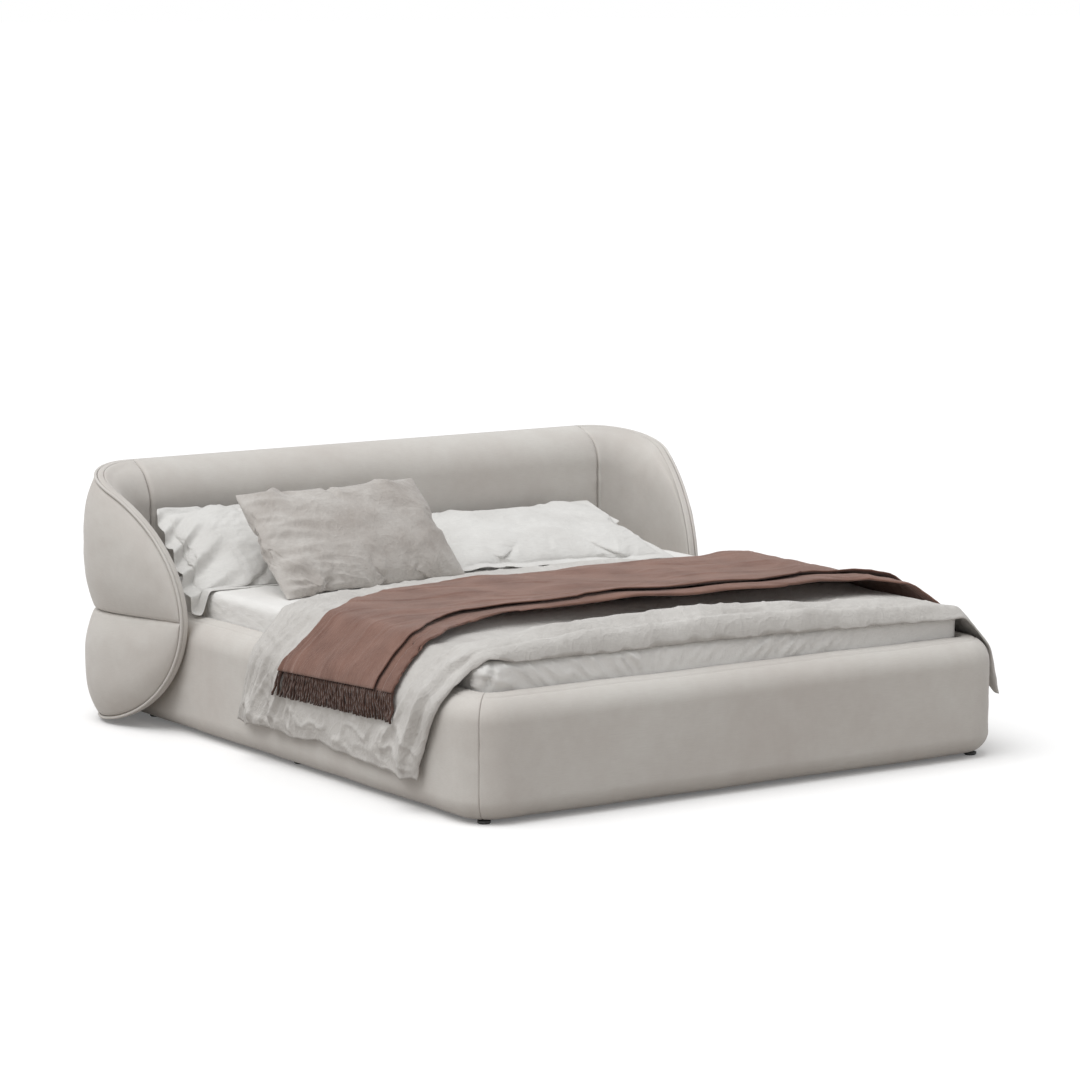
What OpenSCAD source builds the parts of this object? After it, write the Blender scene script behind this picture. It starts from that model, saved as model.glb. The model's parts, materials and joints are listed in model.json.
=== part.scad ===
// Low upholstered bed with a wrap-round headboard, its slatted base and its bedding.
// Millimetres. +Z up, +Y towards the head end, X across. The origin lies on the floor,
// below the middle of the whole bed.

/* [Mattress] */
// Width of the mattress
mattress_w = 1800; // [1600:10:2000]
// Length of the mattress
mattress_l = 2000; // [1900:10:2100]
// Thickness of the mattress
mattress_h = 218; // [180:1:240]
// Corner radius of the mattress, seen from above
mattress_r = 60; // [45:1:90]
// Radius of the mattress's rolled edges
mattress_edge_r = 28; // [15:1:40]
// Cloth thickness of the fitted sheet
sheet_t = 1.5; // [1:0.1:3]
// Height of the top of the mattress, sheet included
mattress_top = 466; // [456:1:480]

/* [Base] */
// Thickness of an upholstered rail
rail_t = 94; // [85:1:110]
// Height of the top of the rails
rail_top = 382; // [365:1:400]
// Gap between the floor and the rails
floor_gap = 10; // [10:1:45]
// Outer corner radius at the foot end, seen from above
corner_r = 132; // [112:1:134]
// Radius of the rolled top edge
top_roll_r = 82; // [60:1:84]
// Radius of the rolled bottom edge
bottom_roll_r = 66; // [40:1:75]
// Thickness of the boards inside the rails
board_t = 25; // [18:1:30]
// Gap between the boards and the mattress
mattress_gap = 6; // [4:0.5:10]
// Height of a board above the underside of its rail
board_lift = 14; // [10:1:20]
// Distance of a board's top edge below the top of its rail
board_drop = 26; // [20:1:30]

/* [Headboard] */
// Height of the headboard
head_h = 845; // [800:5:900]
// Gap between the floor and the headboard
head_gap = 12; // [8:1:20]
// Height of the seam between the upper and lower outer covers
seam_z = 376; // [350:1:400]
// Gap between the mattress and the headboard's front pad
head_clear = 32; // [20:1:60]
// Thickness of the front pad
pad_t = 60; // [40:1:80]
// Depth of the battens behind the front pad
batten_d = 60; // [40:1:80]
// Thickness of the headboard's panel and wing boards
panel_t = 18; // [15:1:22]
// Radius of the wrap at the back corners, to the middle of the board
wrap_r = 200; // [180:5:220]
// Straight length of a wing in front of the corner
wing_l = 318; // [280:1:340]
// Angle by which the wings turn in towards the foot
toe_in = 15.3; // [15:0.1:15.6]
// Gap between the wing's nose and the rail
nose_gap = 1.5; // [1.5:0.5:12]
// Thickness of the outer covers at the seam
cover_seam_t = 15; // [10:1:22]
// Thickness of the outer covers at the rim
cover_rim_t = 8; // [6:1:12]
// Thickness of the outer covers at their fullest
cover_t = 58; // [40:1:60]
// Depth of the roll at the top of the inner pads
pad_roll = 120; // [90:5:150]
// Radial thickness of the edge roll
edge_t = 10; // [8:1:12]
// Radius of the piping
piping_r = 5; // [4:0.5:5]

/* [Slatted base] */
// Side of the steel tube of the slat frame
tube = 25; // [20:1:30]
// Wall of the steel tube
tube_wall = 2; // [1.5:0.5:3]
// Rows of slats
slat_rows = 12; // [8:1:14]
// Width of a slat
slat_w = 53; // [40:1:60]
// Thickness of a slat
slat_t = 8; // [6:1:10]
// Wall of a slat's end shoe
shoe_wall = 3; // [2:0.5:4]
// Length of a slat's end shoe
shoe_l = 24; // [20:1:24]
// Leg of the ledger angle
ledger = 32; // [30:1:45]
// Thickness of steel plates
plate_t = 3; // [2:0.5:4]
// Width of the centre beam
beam_w = 40; // [30:1:60]
// Height of the centre beam
beam_h = 60; // [40:1:70]
// Radius of a centre leg
leg_r = 17.5; // [15:0.5:20]
// Travel of a levelling glide
glide_travel = 15; // [10:1:20]

/* [Fasteners and feet] */
// Radius of a bolt's shank
bolt_r = 4; // [3:0.5:5]
// Radius of a foot
foot_r = 20; // [20:1:32]
// Radius of a foot's stud
stud_r = 5; // [4:0.5:6]

/* [Bedding] */
// Thickness of the duvet
duvet_t = 24; // [15:1:35]
// Extra thickness of the duvet's roll at the foot end
duvet_roll = 34; // [15:1:45]
// Depth of the duvet's hanging folds
fold_depth = 26; // [10:1:30]
// Distance between the duvet's hanging folds
fold_pitch = 150; // [130:5:200]
// Thickness of the folded throw
throw_t = 9; // [6:0.5:12]
// Length of the fringe
fringe_l = 85; // [60:1:90]
// Number of tassels
tassels = 56; // [40:1:64]
// Fullness of a bed pillow
pillow_t = 150; // [120:5:160]
// Fullness of the throw cushion
cushion_t = 130; // [110:5:140]
// Thickness of a pillow's flange
flange_t = 5; // [4:0.5:8]

/* [Hidden] */
$fn = 64;

// Clearances: between pieces of one body, and between pieces that lift apart
fit = 0.3;
lift_fit = 0.4;
hole_fit = 0.2;
thread_fit = 0.08;
over = 1;

// Base, seen from above
inner_w = mattress_w + 2 * mattress_gap;
base_w = inner_w + 2 * rail_t;
head_depth = head_clear + pad_t + batten_d + panel_t + cover_t;
total_l = rail_t + mattress_gap + mattress_l + head_depth;
foot_y = -total_l / 2;
well_foot_y = foot_y + rail_t;
mattress_foot_y = well_foot_y + mattress_gap;
mattress_head_y = mattress_foot_y + mattress_l;
pad_front_y = mattress_head_y + head_clear;
batten_front_y = pad_front_y + pad_t;
panel_front_y = batten_front_y + batten_d;
panel_back_y = panel_front_y + panel_t;
crossrail_y = batten_front_y - board_t;
inner_x = inner_w / 2;
corner_x = base_w / 2 - corner_r;
corner_y = foot_y + corner_r;
board_z = floor_gap + board_lift;
board_top = rail_top - board_drop;

// Heights inside the base
mattress_z = mattress_top - mattress_h - sheet_t;
slat_top = mattress_z - sheet_t - lift_fit;
tube_top = slat_top - slat_t - shoe_wall;
ledger_top = tube_top - tube - lift_fit;
beam_z = ledger_top - beam_h;

// Headboard, seen from above: the middle line of its board from the right nose inwards
edge_lip = 3;
edge_reach = panel_t / 2 + edge_lip;
nose_x = base_w / 2 + nose_gap + edge_reach;
wrap_y = panel_back_y - panel_t / 2 - wrap_r;
wrap_x = nose_x + wing_l * sin(toe_in) - wrap_r * cos(toe_in);
tangent = [wrap_x + wrap_r * cos(toe_in), wrap_y - wrap_r * sin(toe_in)];
wing_dir = [-sin(toe_in), -cos(toe_in)];
wing_out = [cos(toe_in), -sin(toe_in)];
arc_l = wrap_r * (90 + toe_in) * PI / 180;
wrap_l = wing_l + arc_l;
pad_depth = pad_t + batten_d;
pad_low_z = rail_top + 13;
top_batten_z = head_h - 95;
batten_h = 40;

// The rim of a wing, seen from the side: two quarter curves that meet at the nose
rim_up = 668;
rim_down = 420;
rim_up_power = 1.95;
rim_down_power = 1.9;

// A point at arc length s from the nose and at an offset outwards from the middle line
function plan(s, off) =
    s < wing_l
    ? tangent + wing_dir * (wing_l - s) + wing_out * off
    : let (a = (s - wing_l) / wrap_r * 180 / PI - toe_in)
      [wrap_x + (wrap_r + off) * cos(a), wrap_y + (wrap_r + off) * sin(a)];
function place(s, off, z) = let (p = plan(s, off)) [p[0], p[1], z];

function rise(s, reach, height, power, inset) =
    s >= reach
    ? height - inset
    : (height - inset) * pow(1 - pow(1 - (s - inset) / (reach - inset), power), 1 / power);
function rim_top(s, inset) = seam_z + rise(s, rim_up, head_h - seam_z, rim_up_power, inset);
function rim_low(s, inset) = seam_z - rise(s, rim_down, seam_z - head_gap, rim_down_power, inset);

// Arc lengths at which the wing pieces have their sections, closer together at the nose
nose_steps = 11;
arc_steps = 9;
function stations(first) = concat(
    [for (i = [0:nose_steps]) first + (wing_l - first) * pow(i / nose_steps, 2)],
    [for (i = [1:arc_steps]) wing_l + arc_l * i / arc_steps]);

function ramp(x, a, b) = let (t = min(1, max(0, (x - a) / (b - a)))) t * t * (3 - 2 * t);
function mix(a, b, t) = a + (b - a) * t;
function bulge(v) = 1 - pow(abs(2 * v - 1), 2.6);

// A closed solid between a front grid and a back grid of points. Seen from the front,
// rows run to the right and the points of a row run upwards.
module pad(front, back) {
    n = len(front);
    m = len(front[0]);
    f = function (i, j) i * m + j;
    b = function (i, j) n * m + i * m + j;
    points = concat([for (r = front) each r], [for (r = back) each r]);
    faces = concat(
        [for (i = [0:n - 2], j = [0:m - 2]) each [
            [f(i, j), f(i, j + 1), f(i + 1, j + 1)], [f(i, j), f(i + 1, j + 1), f(i + 1, j)],
            [b(i, j), b(i + 1, j + 1), b(i, j + 1)], [b(i, j), b(i + 1, j), b(i + 1, j + 1)]]],
        [for (i = [0:n - 2]) each [
            [f(i, 0), f(i + 1, 0), b(i + 1, 0)], [f(i, 0), b(i + 1, 0), b(i, 0)],
            [f(i, m - 1), b(i + 1, m - 1), f(i + 1, m - 1)],
            [f(i, m - 1), b(i, m - 1), b(i + 1, m - 1)]]],
        [for (j = [0:m - 2]) each [
            [f(0, j), b(0, j + 1), f(0, j + 1)], [f(0, j), b(0, j), b(0, j + 1)],
            [f(n - 1, j), f(n - 1, j + 1), b(n - 1, j + 1)],
            [f(n - 1, j), b(n - 1, j + 1), b(n - 1, j)]]]);
    polyhedron(points, faces, convexity = 6);
}

// A tube of a given radius along a path, with flat ends
module swept_tube(path, r, sides) {
    n = len(path);
    ring = function (i)
        let (t = path[min(n - 1, i + 1)] - path[max(0, i - 1)],
             d = t / norm(t),
             e = cross(d, [wrap_x, wrap_y, seam_z] - path[i]),
             u = e / norm(e),
             w = cross(d, u))
        [for (k = [0:sides - 1]) path[i] + r * (cos(360 * k / sides) * u + sin(360 * k / sides) * w)];
    points = [for (i = [0:n - 1]) each ring(i)];
    faces = concat(
        [for (i = [0:n - 2], k = [0:sides - 1])
            let (a = i * sides + k, b = i * sides + (k + 1) % sides)
            each [[a, a + sides, b], [b, a + sides, b + sides]]],
        [for (k = [1:sides - 2]) each [[0, k, k + 1],
            [(n - 1) * sides, (n - 1) * sides + k + 1, (n - 1) * sides + k]]]);
    polyhedron(points, faces, convexity = 4);
}

module on_side(side) {
    mirror([side < 0 ? 1 : 0, 0, 0]) children();
}

module both_sides() {
    for (side = [-1, 1]) on_side(side) children();
}

// Stands a section up so that its x runs along +X and its y along +Z, extruded along +Y
module along_y(length) {
    translate([0, length, 0]) rotate([90, 0, 0]) linear_extrude(length) children();
}

// Stands a section up so that its x runs along +Y and its y along +Z, extruded along +X
module along_x(length) {
    rotate([90, 0, 90]) linear_extrude(length) children();
}

// Section of a rail: x from its inner face outwards, y up from the floor
module rail_profile() {
    translate([0, floor_gap + bottom_roll_r])
        square([rail_t, rail_top - floor_gap - top_roll_r - bottom_roll_r]);
    translate([0, floor_gap]) square([rail_t - bottom_roll_r, bottom_roll_r + over]);
    translate([0, rail_top - top_roll_r - over]) square([rail_t - top_roll_r, top_roll_r + over]);
    intersection() {
        translate([rail_t - top_roll_r, rail_top - top_roll_r]) circle(top_roll_r);
        translate([rail_t - top_roll_r - over, rail_top - top_roll_r - over])
            square(top_roll_r + 2 * over);
    }
    intersection() {
        translate([rail_t - bottom_roll_r, floor_gap + bottom_roll_r]) circle(bottom_roll_r);
        translate([rail_t - bottom_roll_r - over, floor_gap])
            square(bottom_roll_r + over);
    }
}

module cover_profile() {
    difference() {
        rail_profile();
        translate([-over, board_z - fit])
            square([board_t + over + fit, board_top - board_z + 2 * fit]);
    }
}

// The middle of a corner post, on the diagonal of the foot corner
post_r = 26;
post_inset = 12;
post_reach = (corner_r - rail_t / 2 - post_inset) * sqrt(0.5);
post_place = [corner_x + post_reach, corner_y - post_reach];
side_feet = [for (y = [(well_foot_y + batten_front_y) / 2, batten_front_y - rail_t])
    [inner_x + board_t / 2, y]];
stud_h = 20;

module stud_holes() {
    for (p = concat([post_place], side_feet))
        translate([p[0], p[1], floor_gap - over])
            cylinder(r = stud_r + hole_fit, h = board_lift + stud_h + over + fit);
}

module post_hole() {
    translate([post_place[0], post_place[1], board_z - fit])
        cylinder(r = post_r + fit, h = board_top - board_z + 2 * fit);
}

// Half of a foot corner, from its seam in the middle of the turn
seam_slack = 0.15;
module corner_turn(start) {
    translate([corner_x, corner_y, 0]) rotate([0, 0, start])
        rotate_extrude(angle = 45 - seam_slack)
            translate([corner_r - rail_t, 0]) rail_profile();
}

module past_seam() {
    translate([corner_x, corner_y, 0]) rotate([0, 0, -45])
        translate([-20, seam_slack - 200, floor_gap - over])
            cube([200, 200, rail_top + over]);
}

module side_cover(side) {
    color([0.74, 0.72, 0.69])
    on_side(side)
    difference() {
        union() {
            translate([inner_x, corner_y - over / 100, 0])
                along_y(batten_front_y - corner_y) cover_profile();
            translate([corner_x, corner_y, 0]) rotate([0, 0, -90])
                rotate_extrude(angle = 90)
                    translate([corner_r - rail_t, 0]) rail_profile();
        }
        past_seam();
        post_hole();
        stud_holes();
    }
}

module foot_cover() {
    color([0.72, 0.70, 0.67])
    difference() {
        union() {
            translate([-corner_x, well_foot_y, 0]) rotate([0, 0, -90])
                along_y(2 * corner_x) cover_profile();
            both_sides() corner_turn(-90);
        }
        both_sides() post_hole();
        both_sides() stud_holes();
    }
}

// Corner brackets: two bolts in each leg
bracket_leg = 70;
bracket_z = board_z + 20;
bracket_h = 96;
bolt_heights = [bracket_z + 24, bracket_z + bracket_h - 24];
bolt_inset = 48;
bolt_depth = board_t - 3;

// Places its child at each bracket bolt, with +Z of the child into the board
module at_bracket_bolts(where) {
    for (z = bolt_heights) {
        if (where == "side" || where == "all")
            for (y = [corner_y + bolt_inset, crossrail_y - bolt_inset])
                translate([inner_x, y, z]) rotate([0, 90, 0]) children();
        if (where == "foot" || where == "all")
            translate([corner_x - bolt_inset, well_foot_y, z]) rotate([90, 0, 0]) children();
        if (where == "head" || where == "all")
            translate([inner_x - bolt_inset, crossrail_y, z]) rotate([-90, 0, 0]) children();
    }
}

module bolt_bore() {
    translate([0, 0, -plate_t - over])
        cylinder(r = bolt_r + hole_fit, h = plate_t + over + bolt_depth + fit);
}

module side_board(side) {
    color([0.80, 0.68, 0.50])
    on_side(side)
    difference() {
        translate([inner_x, corner_y + fit, board_z])
            cube([board_t, batten_front_y - corner_y - fit, board_top - board_z]);
        at_bracket_bolts("side") bolt_bore();
        stud_holes();
    }
}

module foot_board() {
    color([0.80, 0.68, 0.50])
    difference() {
        translate([-corner_x + fit, well_foot_y - board_t, board_z])
            cube([2 * (corner_x - fit), board_t, board_top - board_z]);
        both_sides() at_bracket_bolts("foot") bolt_bore();
    }
}

upright_w = 50;
upright_x = [wrap_x / 3, wrap_x * 0.8];
head_bolt_z = [board_z + 60, board_top - 60];
head_bolt_l = board_t + 40;

module at_head_bolts() {
    both_sides() for (x = upright_x, z = head_bolt_z)
        translate([x, crossrail_y, z]) rotate([-90, 0, 0]) children();
}

module head_bolt_bore() {
    translate([0, 0, -over]) cylinder(r = bolt_r + hole_fit, h = head_bolt_l + over + fit);
}

module head_crossrail() {
    color([0.80, 0.68, 0.50])
    difference() {
        translate([-inner_x + fit, crossrail_y, board_z])
            cube([inner_w - 2 * fit, board_t, board_top - board_z]);
        both_sides() at_bracket_bolts("head") bolt_bore();
        at_head_bolts() head_bolt_bore();
    }
}

module corner_posts() {
    color([0.80, 0.68, 0.50])
    both_sides()
    difference() {
        translate([post_place[0], post_place[1], board_z])
            cylinder(r = post_r, h = board_top - board_z);
        stud_holes();
    }
}

// The corner of the well at the foot, filled out to a radius and past the bracket's legs
module well_corner(r, past) {
    translate([-bracket_leg - past, -r]) square([bracket_leg + past, r + bracket_leg + past]);
    translate([-over, 0]) square([r + over, bracket_leg + past]);
    intersection() {
        circle(r);
        translate([-over, -r]) square(r + over);
    }
}

module foot_corner_bracket() {
    bend = corner_r - rail_t - fit;
    translate([corner_x, corner_y]) difference() {
        well_corner(bend, 0);
        well_corner(bend - plate_t, over);
    }
}

module head_corner_bracket() {
    translate([inner_x - fit - plate_t, crossrail_y - fit - bracket_leg])
        square([plate_t, bracket_leg]);
    translate([inner_x - fit - bracket_leg, crossrail_y - fit - plate_t])
        square([bracket_leg, plate_t]);
}

module corner_brackets() {
    color([0.55, 0.56, 0.58])
    both_sides()
    difference() {
        translate([0, 0, bracket_z]) linear_extrude(bracket_h) {
            foot_corner_bracket();
            head_corner_bracket();
        }
        at_bracket_bolts("all") bolt_bore();
    }
}

bolt_head_r = bolt_r * 1.9;
bolt_head_h = bolt_r * 1.1;

module bolt(grip, length) {
    translate([0, 0, -grip - bolt_head_h - fit]) difference() {
        cylinder(r = bolt_head_r, h = bolt_head_h);
        translate([0, 0, -over]) cylinder(r = bolt_r * 0.7, h = bolt_head_h * 0.6 + over, $fn = 6);
    }
    translate([0, 0, -grip - fit - over / 100]) cylinder(r = bolt_r, h = length + grip + fit);
}

module bracket_bolts() {
    color([0.35, 0.36, 0.38])
    both_sides() at_bracket_bolts("all") bolt(plate_t + fit, bolt_depth);
}

module headboard_bolts() {
    color([0.35, 0.36, 0.38])
    at_head_bolts() bolt(0, head_bolt_l);
}

module base_feet() {
    color([0.12, 0.12, 0.12])
    both_sides() for (p = concat([post_place], side_feet)) translate([p[0], p[1], 0])
        rotate_extrude() union() {
            square([stud_r, floor_gap + board_lift + stud_h]);
            square([foot_r - 3, floor_gap - fit]);
            translate([0, 3]) square([foot_r, floor_gap - fit - 3]);
        }
}

module ledgers() {
    color([0.55, 0.56, 0.58])
    both_sides() {
        translate([inner_x - fit - plate_t, corner_y + fit, ledger_top - ledger])
            cube([plate_t, crossrail_y - corner_y - 2 * fit, ledger]);
        translate([inner_x - fit - ledger, corner_y + fit, ledger_top - plate_t])
            cube([ledger, crossrail_y - corner_y - 2 * fit, plate_t]);
    }
}

hanger_l = 50;
hanger_w = beam_w + 2 * (fit + plate_t);

module hanger() {
    translate([-hanger_w / 2 - 25, fit, beam_z - plate_t - fit])
        cube([hanger_w + 50, plate_t, beam_h]);
    translate([-hanger_w / 2, fit, beam_z - plate_t - fit]) cube([hanger_w, hanger_l, plate_t]);
    for (x = [-hanger_w / 2, hanger_w / 2 - plate_t])
        translate([x, fit, beam_z - plate_t - fit]) cube([plate_t, hanger_l, beam_h * 0.6]);
}

module beam_hangers() {
    color([0.55, 0.56, 0.58]) {
        translate([0, well_foot_y, 0]) hanger();
        translate([0, crossrail_y, 0]) mirror([0, 1, 0]) hanger();
    }
}

beam_start = well_foot_y + plate_t + 2 * fit;
beam_end = crossrail_y - plate_t - 2 * fit;

module centre_beam() {
    color([0.30, 0.31, 0.33])
    translate([0, beam_start, beam_z]) difference() {
        translate([-beam_w / 2, 0, 0]) cube([beam_w, beam_end - beam_start, beam_h]);
        translate([-beam_w / 2 + tube_wall, -over, tube_wall])
            cube([beam_w - 2 * tube_wall, beam_end - beam_start + 2 * over, beam_h - 2 * tube_wall]);
    }
}

glide_r = 22;
glide_h = 9;
leg_z = glide_h + 11;
plug_h = 18;
leg_y = [for (k = [1:3]) beam_start + (beam_end - beam_start) * k / 4];

module centre_legs() {
    color([0.30, 0.31, 0.33])
    for (y = leg_y) translate([0, y, 0]) difference() {
        union() {
            translate([0, 0, leg_z]) cylinder(r = leg_r, h = beam_z - fit - leg_z);
            translate([-beam_w / 2, -40, beam_z - fit - plate_t]) cube([beam_w, 80, plate_t]);
        }
        translate([0, 0, leg_z + plug_h])
            cylinder(r = leg_r - tube_wall, h = beam_z - fit - plate_t - leg_z - plug_h);
        translate([0, 0, leg_z - over]) cylinder(r = stud_r + thread_fit, h = plug_h + 2 * over);
    }
}

module glide(k) {
    color([0.12, 0.12, 0.12])
    translate([0, leg_y[k], 0]) rotate_extrude() union() {
        square([stud_r, leg_z + plug_h + glide_travel]);
        square([glide_r - 2, glide_h]);
        translate([0, 2]) square([glide_r, glide_h - 4]);
    }
}

module headboard_panel() {
    color([0.80, 0.68, 0.50])
    translate([-wrap_x + fit, panel_front_y, head_gap + edge_t])
        cube([2 * (wrap_x - fit), panel_t, head_h - head_gap - 2 * edge_t]);
}

batten_low_z = head_gap + edge_t;

module headboard_uprights() {
    color([0.84, 0.73, 0.56])
    difference() {
        both_sides() for (x = upright_x)
            translate([x - upright_w / 2, batten_front_y + fit, batten_low_z + batten_h + fit])
                cube([upright_w, batten_d - 2 * fit, top_batten_z - batten_low_z - batten_h - 2 * fit]);
        at_head_bolts() head_bolt_bore();
    }
}

module headboard_rails() {
    color([0.84, 0.73, 0.56])
    for (z = [batten_low_z, top_batten_z])
        translate([-wrap_x + fit, batten_front_y + fit, z])
            cube([2 * (wrap_x - fit), batten_d - 2 * fit, batten_h]);
}

module headboard_glides() {
    color([0.12, 0.12, 0.12])
    both_sides() for (x = upright_x)
        translate([x, batten_front_y + batten_d / 2, 0])
            cylinder(r = 16, h = batten_low_z - fit);
}

module wing_board(side) {
    s_list = stations(edge_t + over);
    grid = function (off) [for (s = s_list)
        [place(s, off, rim_low(s, edge_t)), place(s, off, rim_top(s, edge_t))]];
    color([0.80, 0.68, 0.50])
    on_side(side) pad(grid(panel_t / 2), grid(-panel_t / 2));
}

// Outer covers: how full a cover is at arc length s, and how thick it is at height share v
full_at = 290;
function fullness(s) = 1 - pow(1 - min(1, s / full_at), 2.2);
function cover_depth(full, v) =
    mix(cover_seam_t * max(full, cover_rim_t / cover_seam_t), cover_rim_t, v)
    + (cover_t - mix(cover_seam_t, cover_rim_t, v)) * bulge(v) * full;
cover_shares = [0, 0.07, 0.2, 0.4, 0.6, 0.8, 0.93, 1];
cover_inset = edge_t + 1.5;
cover_base = panel_t / 2 + fit;

// A cover between its seam edge (v = 0) and its rim edge (v = 1)
function cover_grid(s_list, rim, back) = [for (s = s_list) [for (v = cover_shares)
    let (z0 = seam_z + sign(rim(s) - seam_z) * fit, z = mix(z0, rim(s), v))
    place(s, cover_base + (back ? 0 : cover_depth(fullness(s), v)), z)]];

module wing_cover_upper(side) {
    s_list = stations(cover_inset + over);
    rim = function (s) rim_top(s, cover_inset);
    color([0.76, 0.74, 0.71])
    on_side(side) pad(cover_grid(s_list, rim, false), cover_grid(s_list, rim, true));
}

module wing_cover_lower(side) {
    s_list = stations(cover_inset + over);
    rim = function (s) rim_low(s, cover_inset);
    color([0.70, 0.68, 0.65])
    on_side(side) pad(cover_grid(s_list, rim, true), cover_grid(s_list, rim, false));
}

module back_cover(rim) {
    z0 = seam_z + sign(rim - seam_z) * fit;
    outer = [for (v = cover_shares) [panel_back_y + fit + cover_depth(1, v), mix(z0, rim, v)]];
    translate([-wrap_x + fit, 0, 0]) along_x(2 * (wrap_x - fit))
        polygon(concat(outer, [[panel_back_y + fit, rim], [panel_back_y + fit, z0]]));
}

module back_cover_upper() {
    color([0.74, 0.72, 0.69]) back_cover(head_h - cover_inset);
}

module back_cover_lower() {
    color([0.70, 0.68, 0.65]) back_cover(head_gap + cover_inset);
}

// Inner pads: how deep the pad is at height z below its top, with a roll at the top
function rolled(depth, lip, z, top, roll) =
    z <= top - roll
    ? depth
    : lip + (depth - lip) * sqrt(max(0, 1 - pow((z - top + roll) / roll, 2)));
pad_shares = [0, 0.25, 0.45, 0.6, 0.72, 0.82, 0.9, 0.96, 1];

module inner_pad(side) {
    inset = edge_t + fit;
    s_list = stations(inset + 4);
    depth = function (s) mix(edge_lip + 5, pad_depth, ramp(s, inset, wrap_l));
    grid = function (front) [for (s = s_list) [for (v = pad_shares)
        let (top = rim_top(s, inset), z = mix(pad_low_z, top, v),
             roll = min(pad_roll, 0.9 * (top - pad_low_z)))
        place(s, -panel_t / 2 - fit - (front ? rolled(depth(s), edge_lip, z, top, roll) : 0), z)]];
    color([0.72, 0.70, 0.68])
    on_side(side) pad(grid(false), grid(true));
}

module centre_pad() {
    low_z = board_top + fit;
    front = [for (a = [0:9:90])
        [panel_back_y - (pad_depth + panel_t) * cos(a), head_h - pad_roll + pad_roll * sin(a)]];
    over_board = head_h - edge_t + fit;
    over_batten = top_batten_z + batten_h + fit;
    color([0.72, 0.70, 0.68])
    translate([-wrap_x + fit, 0, 0]) along_x(2 * (wrap_x - fit))
        polygon(concat(
            [[pad_front_y, low_z]], front,
            [[panel_back_y, over_board], [panel_front_y - fit, over_board],
             [panel_front_y - fit, over_batten], [batten_front_y - fit, over_batten],
             [batten_front_y - fit, low_z]]));
}

// The rim as pairs of arc length and height, from the bottom round the nose to the top
rim_angles = [0, 4, 9, 15, 22, 30, 39, 48, 57, 61, 65, 69, 73, 77, 81, 85, 90];
function rim_pair(a, reach, height, power, inset, way) =
    [reach - (reach - inset) * pow(cos(a), 2 / power),
     seam_z + way * (height - inset) * pow(sin(a), 2 / power)];
function rim_path(inset) = concat(
    [for (i = [0:6]) [mix(wrap_l, rim_down, i / 7), head_gap + inset]],
    [for (k = [len(rim_angles) - 1:-1:1])
        rim_pair(rim_angles[k], rim_down, seam_z - head_gap, rim_down_power, inset, -1)],
    [for (a = rim_angles) rim_pair(a, rim_up, head_h - seam_z, rim_up_power, inset, 1)],
    [[wrap_l, head_h - inset]]);

edge_slack = 2;

module edge_roll(side) {
    row = function (off, inset) [for (p = rim_path(inset)) place(p[0], off, p[1])];
    half = panel_t / 2;
    outer = [row(-edge_reach, 4), row(-edge_reach + 4, 0), row(half - 3, 0), row(half, 3)];
    inner_inset = edge_t - edge_slack;
    inner = [row(-edge_reach, inner_inset), row(-edge_reach + 4, inner_inset),
        row(half - 3, inner_inset), row(half, inner_inset)];
    color([0.78, 0.76, 0.73])
    on_side(side) pad(outer, inner);
}

piping_off = panel_t / 2 + piping_r + 4 * fit;

module piping(side) {
    color([0.80, 0.78, 0.75])
    on_side(side)
    swept_tube([for (p = rim_path(piping_r)) place(p[0], piping_off, p[1])], piping_r, 8);
}

module piping_back() {
    color([0.80, 0.78, 0.75])
    for (z = [head_gap + piping_r, head_h - piping_r])
        translate([-wrap_x + 2 * fit, panel_back_y + 4 * fit + piping_r, z]) rotate([0, 90, 0])
            cylinder(r = piping_r, h = 2 * (wrap_x - 2 * fit));
}

// Slatted base
frame_x = mattress_w / 2 - 6;
frame_foot = mattress_foot_y + 6;
frame_head = mattress_head_y - 6;
slat_pitch = (frame_head - frame_foot - 2 * tube - slat_w) / (slat_rows - 1);
slat_y = [for (k = [0:slat_rows - 1]) frame_foot + tube + slat_w / 2 + slat_pitch * k];

module square_tube(length) {
    difference() {
        cube([tube, length, tube]);
        translate([tube_wall, -over, tube_wall])
            cube([tube - 2 * tube_wall, length + 2 * over, tube - 2 * tube_wall]);
    }
}

module frame_side_tubes() {
    color([0.25, 0.26, 0.28]) {
        for (x = [-frame_x, frame_x - tube])
            translate([x, frame_foot, tube_top - tube]) square_tube(frame_head - frame_foot);
        translate([-tube / 2, frame_foot + tube + fit, tube_top - tube])
            square_tube(frame_head - frame_foot - 2 * (tube + fit));
    }
}

module frame_end_tubes() {
    color([0.25, 0.26, 0.28])
    for (y = [frame_foot + tube, frame_head])
        translate([-frame_x + tube + fit, y, tube_top - tube]) rotate([0, 0, -90])
            square_tube(2 * (frame_x - tube - fit));
}

slat_inner_x = shoe_wall + fit;
slat_outer_x = frame_x - shoe_wall - fit;

module slats() {
    color([0.86, 0.76, 0.60])
    both_sides() for (y = slat_y)
        translate([slat_inner_x, y - slat_w / 2, tube_top + shoe_wall + fit])
            cube([slat_outer_x - slat_inner_x, slat_w, slat_t - fit]);
}

module slat_shoe() {
    shoe_w = slat_w + 2 * (fit + shoe_wall);
    difference() {
        translate([0, -shoe_w / 2, fit]) cube([shoe_l, shoe_w, shoe_wall + slat_t - fit]);
        translate([shoe_wall, -slat_w / 2 - fit, shoe_wall])
            cube([shoe_l, slat_w + 2 * fit, slat_t + over]);
    }
}

module slat_shoes() {
    color([0.15, 0.15, 0.16])
    both_sides() for (y = slat_y) {
        translate([fit / 2, y, tube_top]) slat_shoe();
        translate([frame_x, y, tube_top]) mirror([1, 0, 0]) slat_shoe();
    }
}

// Mattress and fitted sheet
sheet_gap = 0.15;

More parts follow.
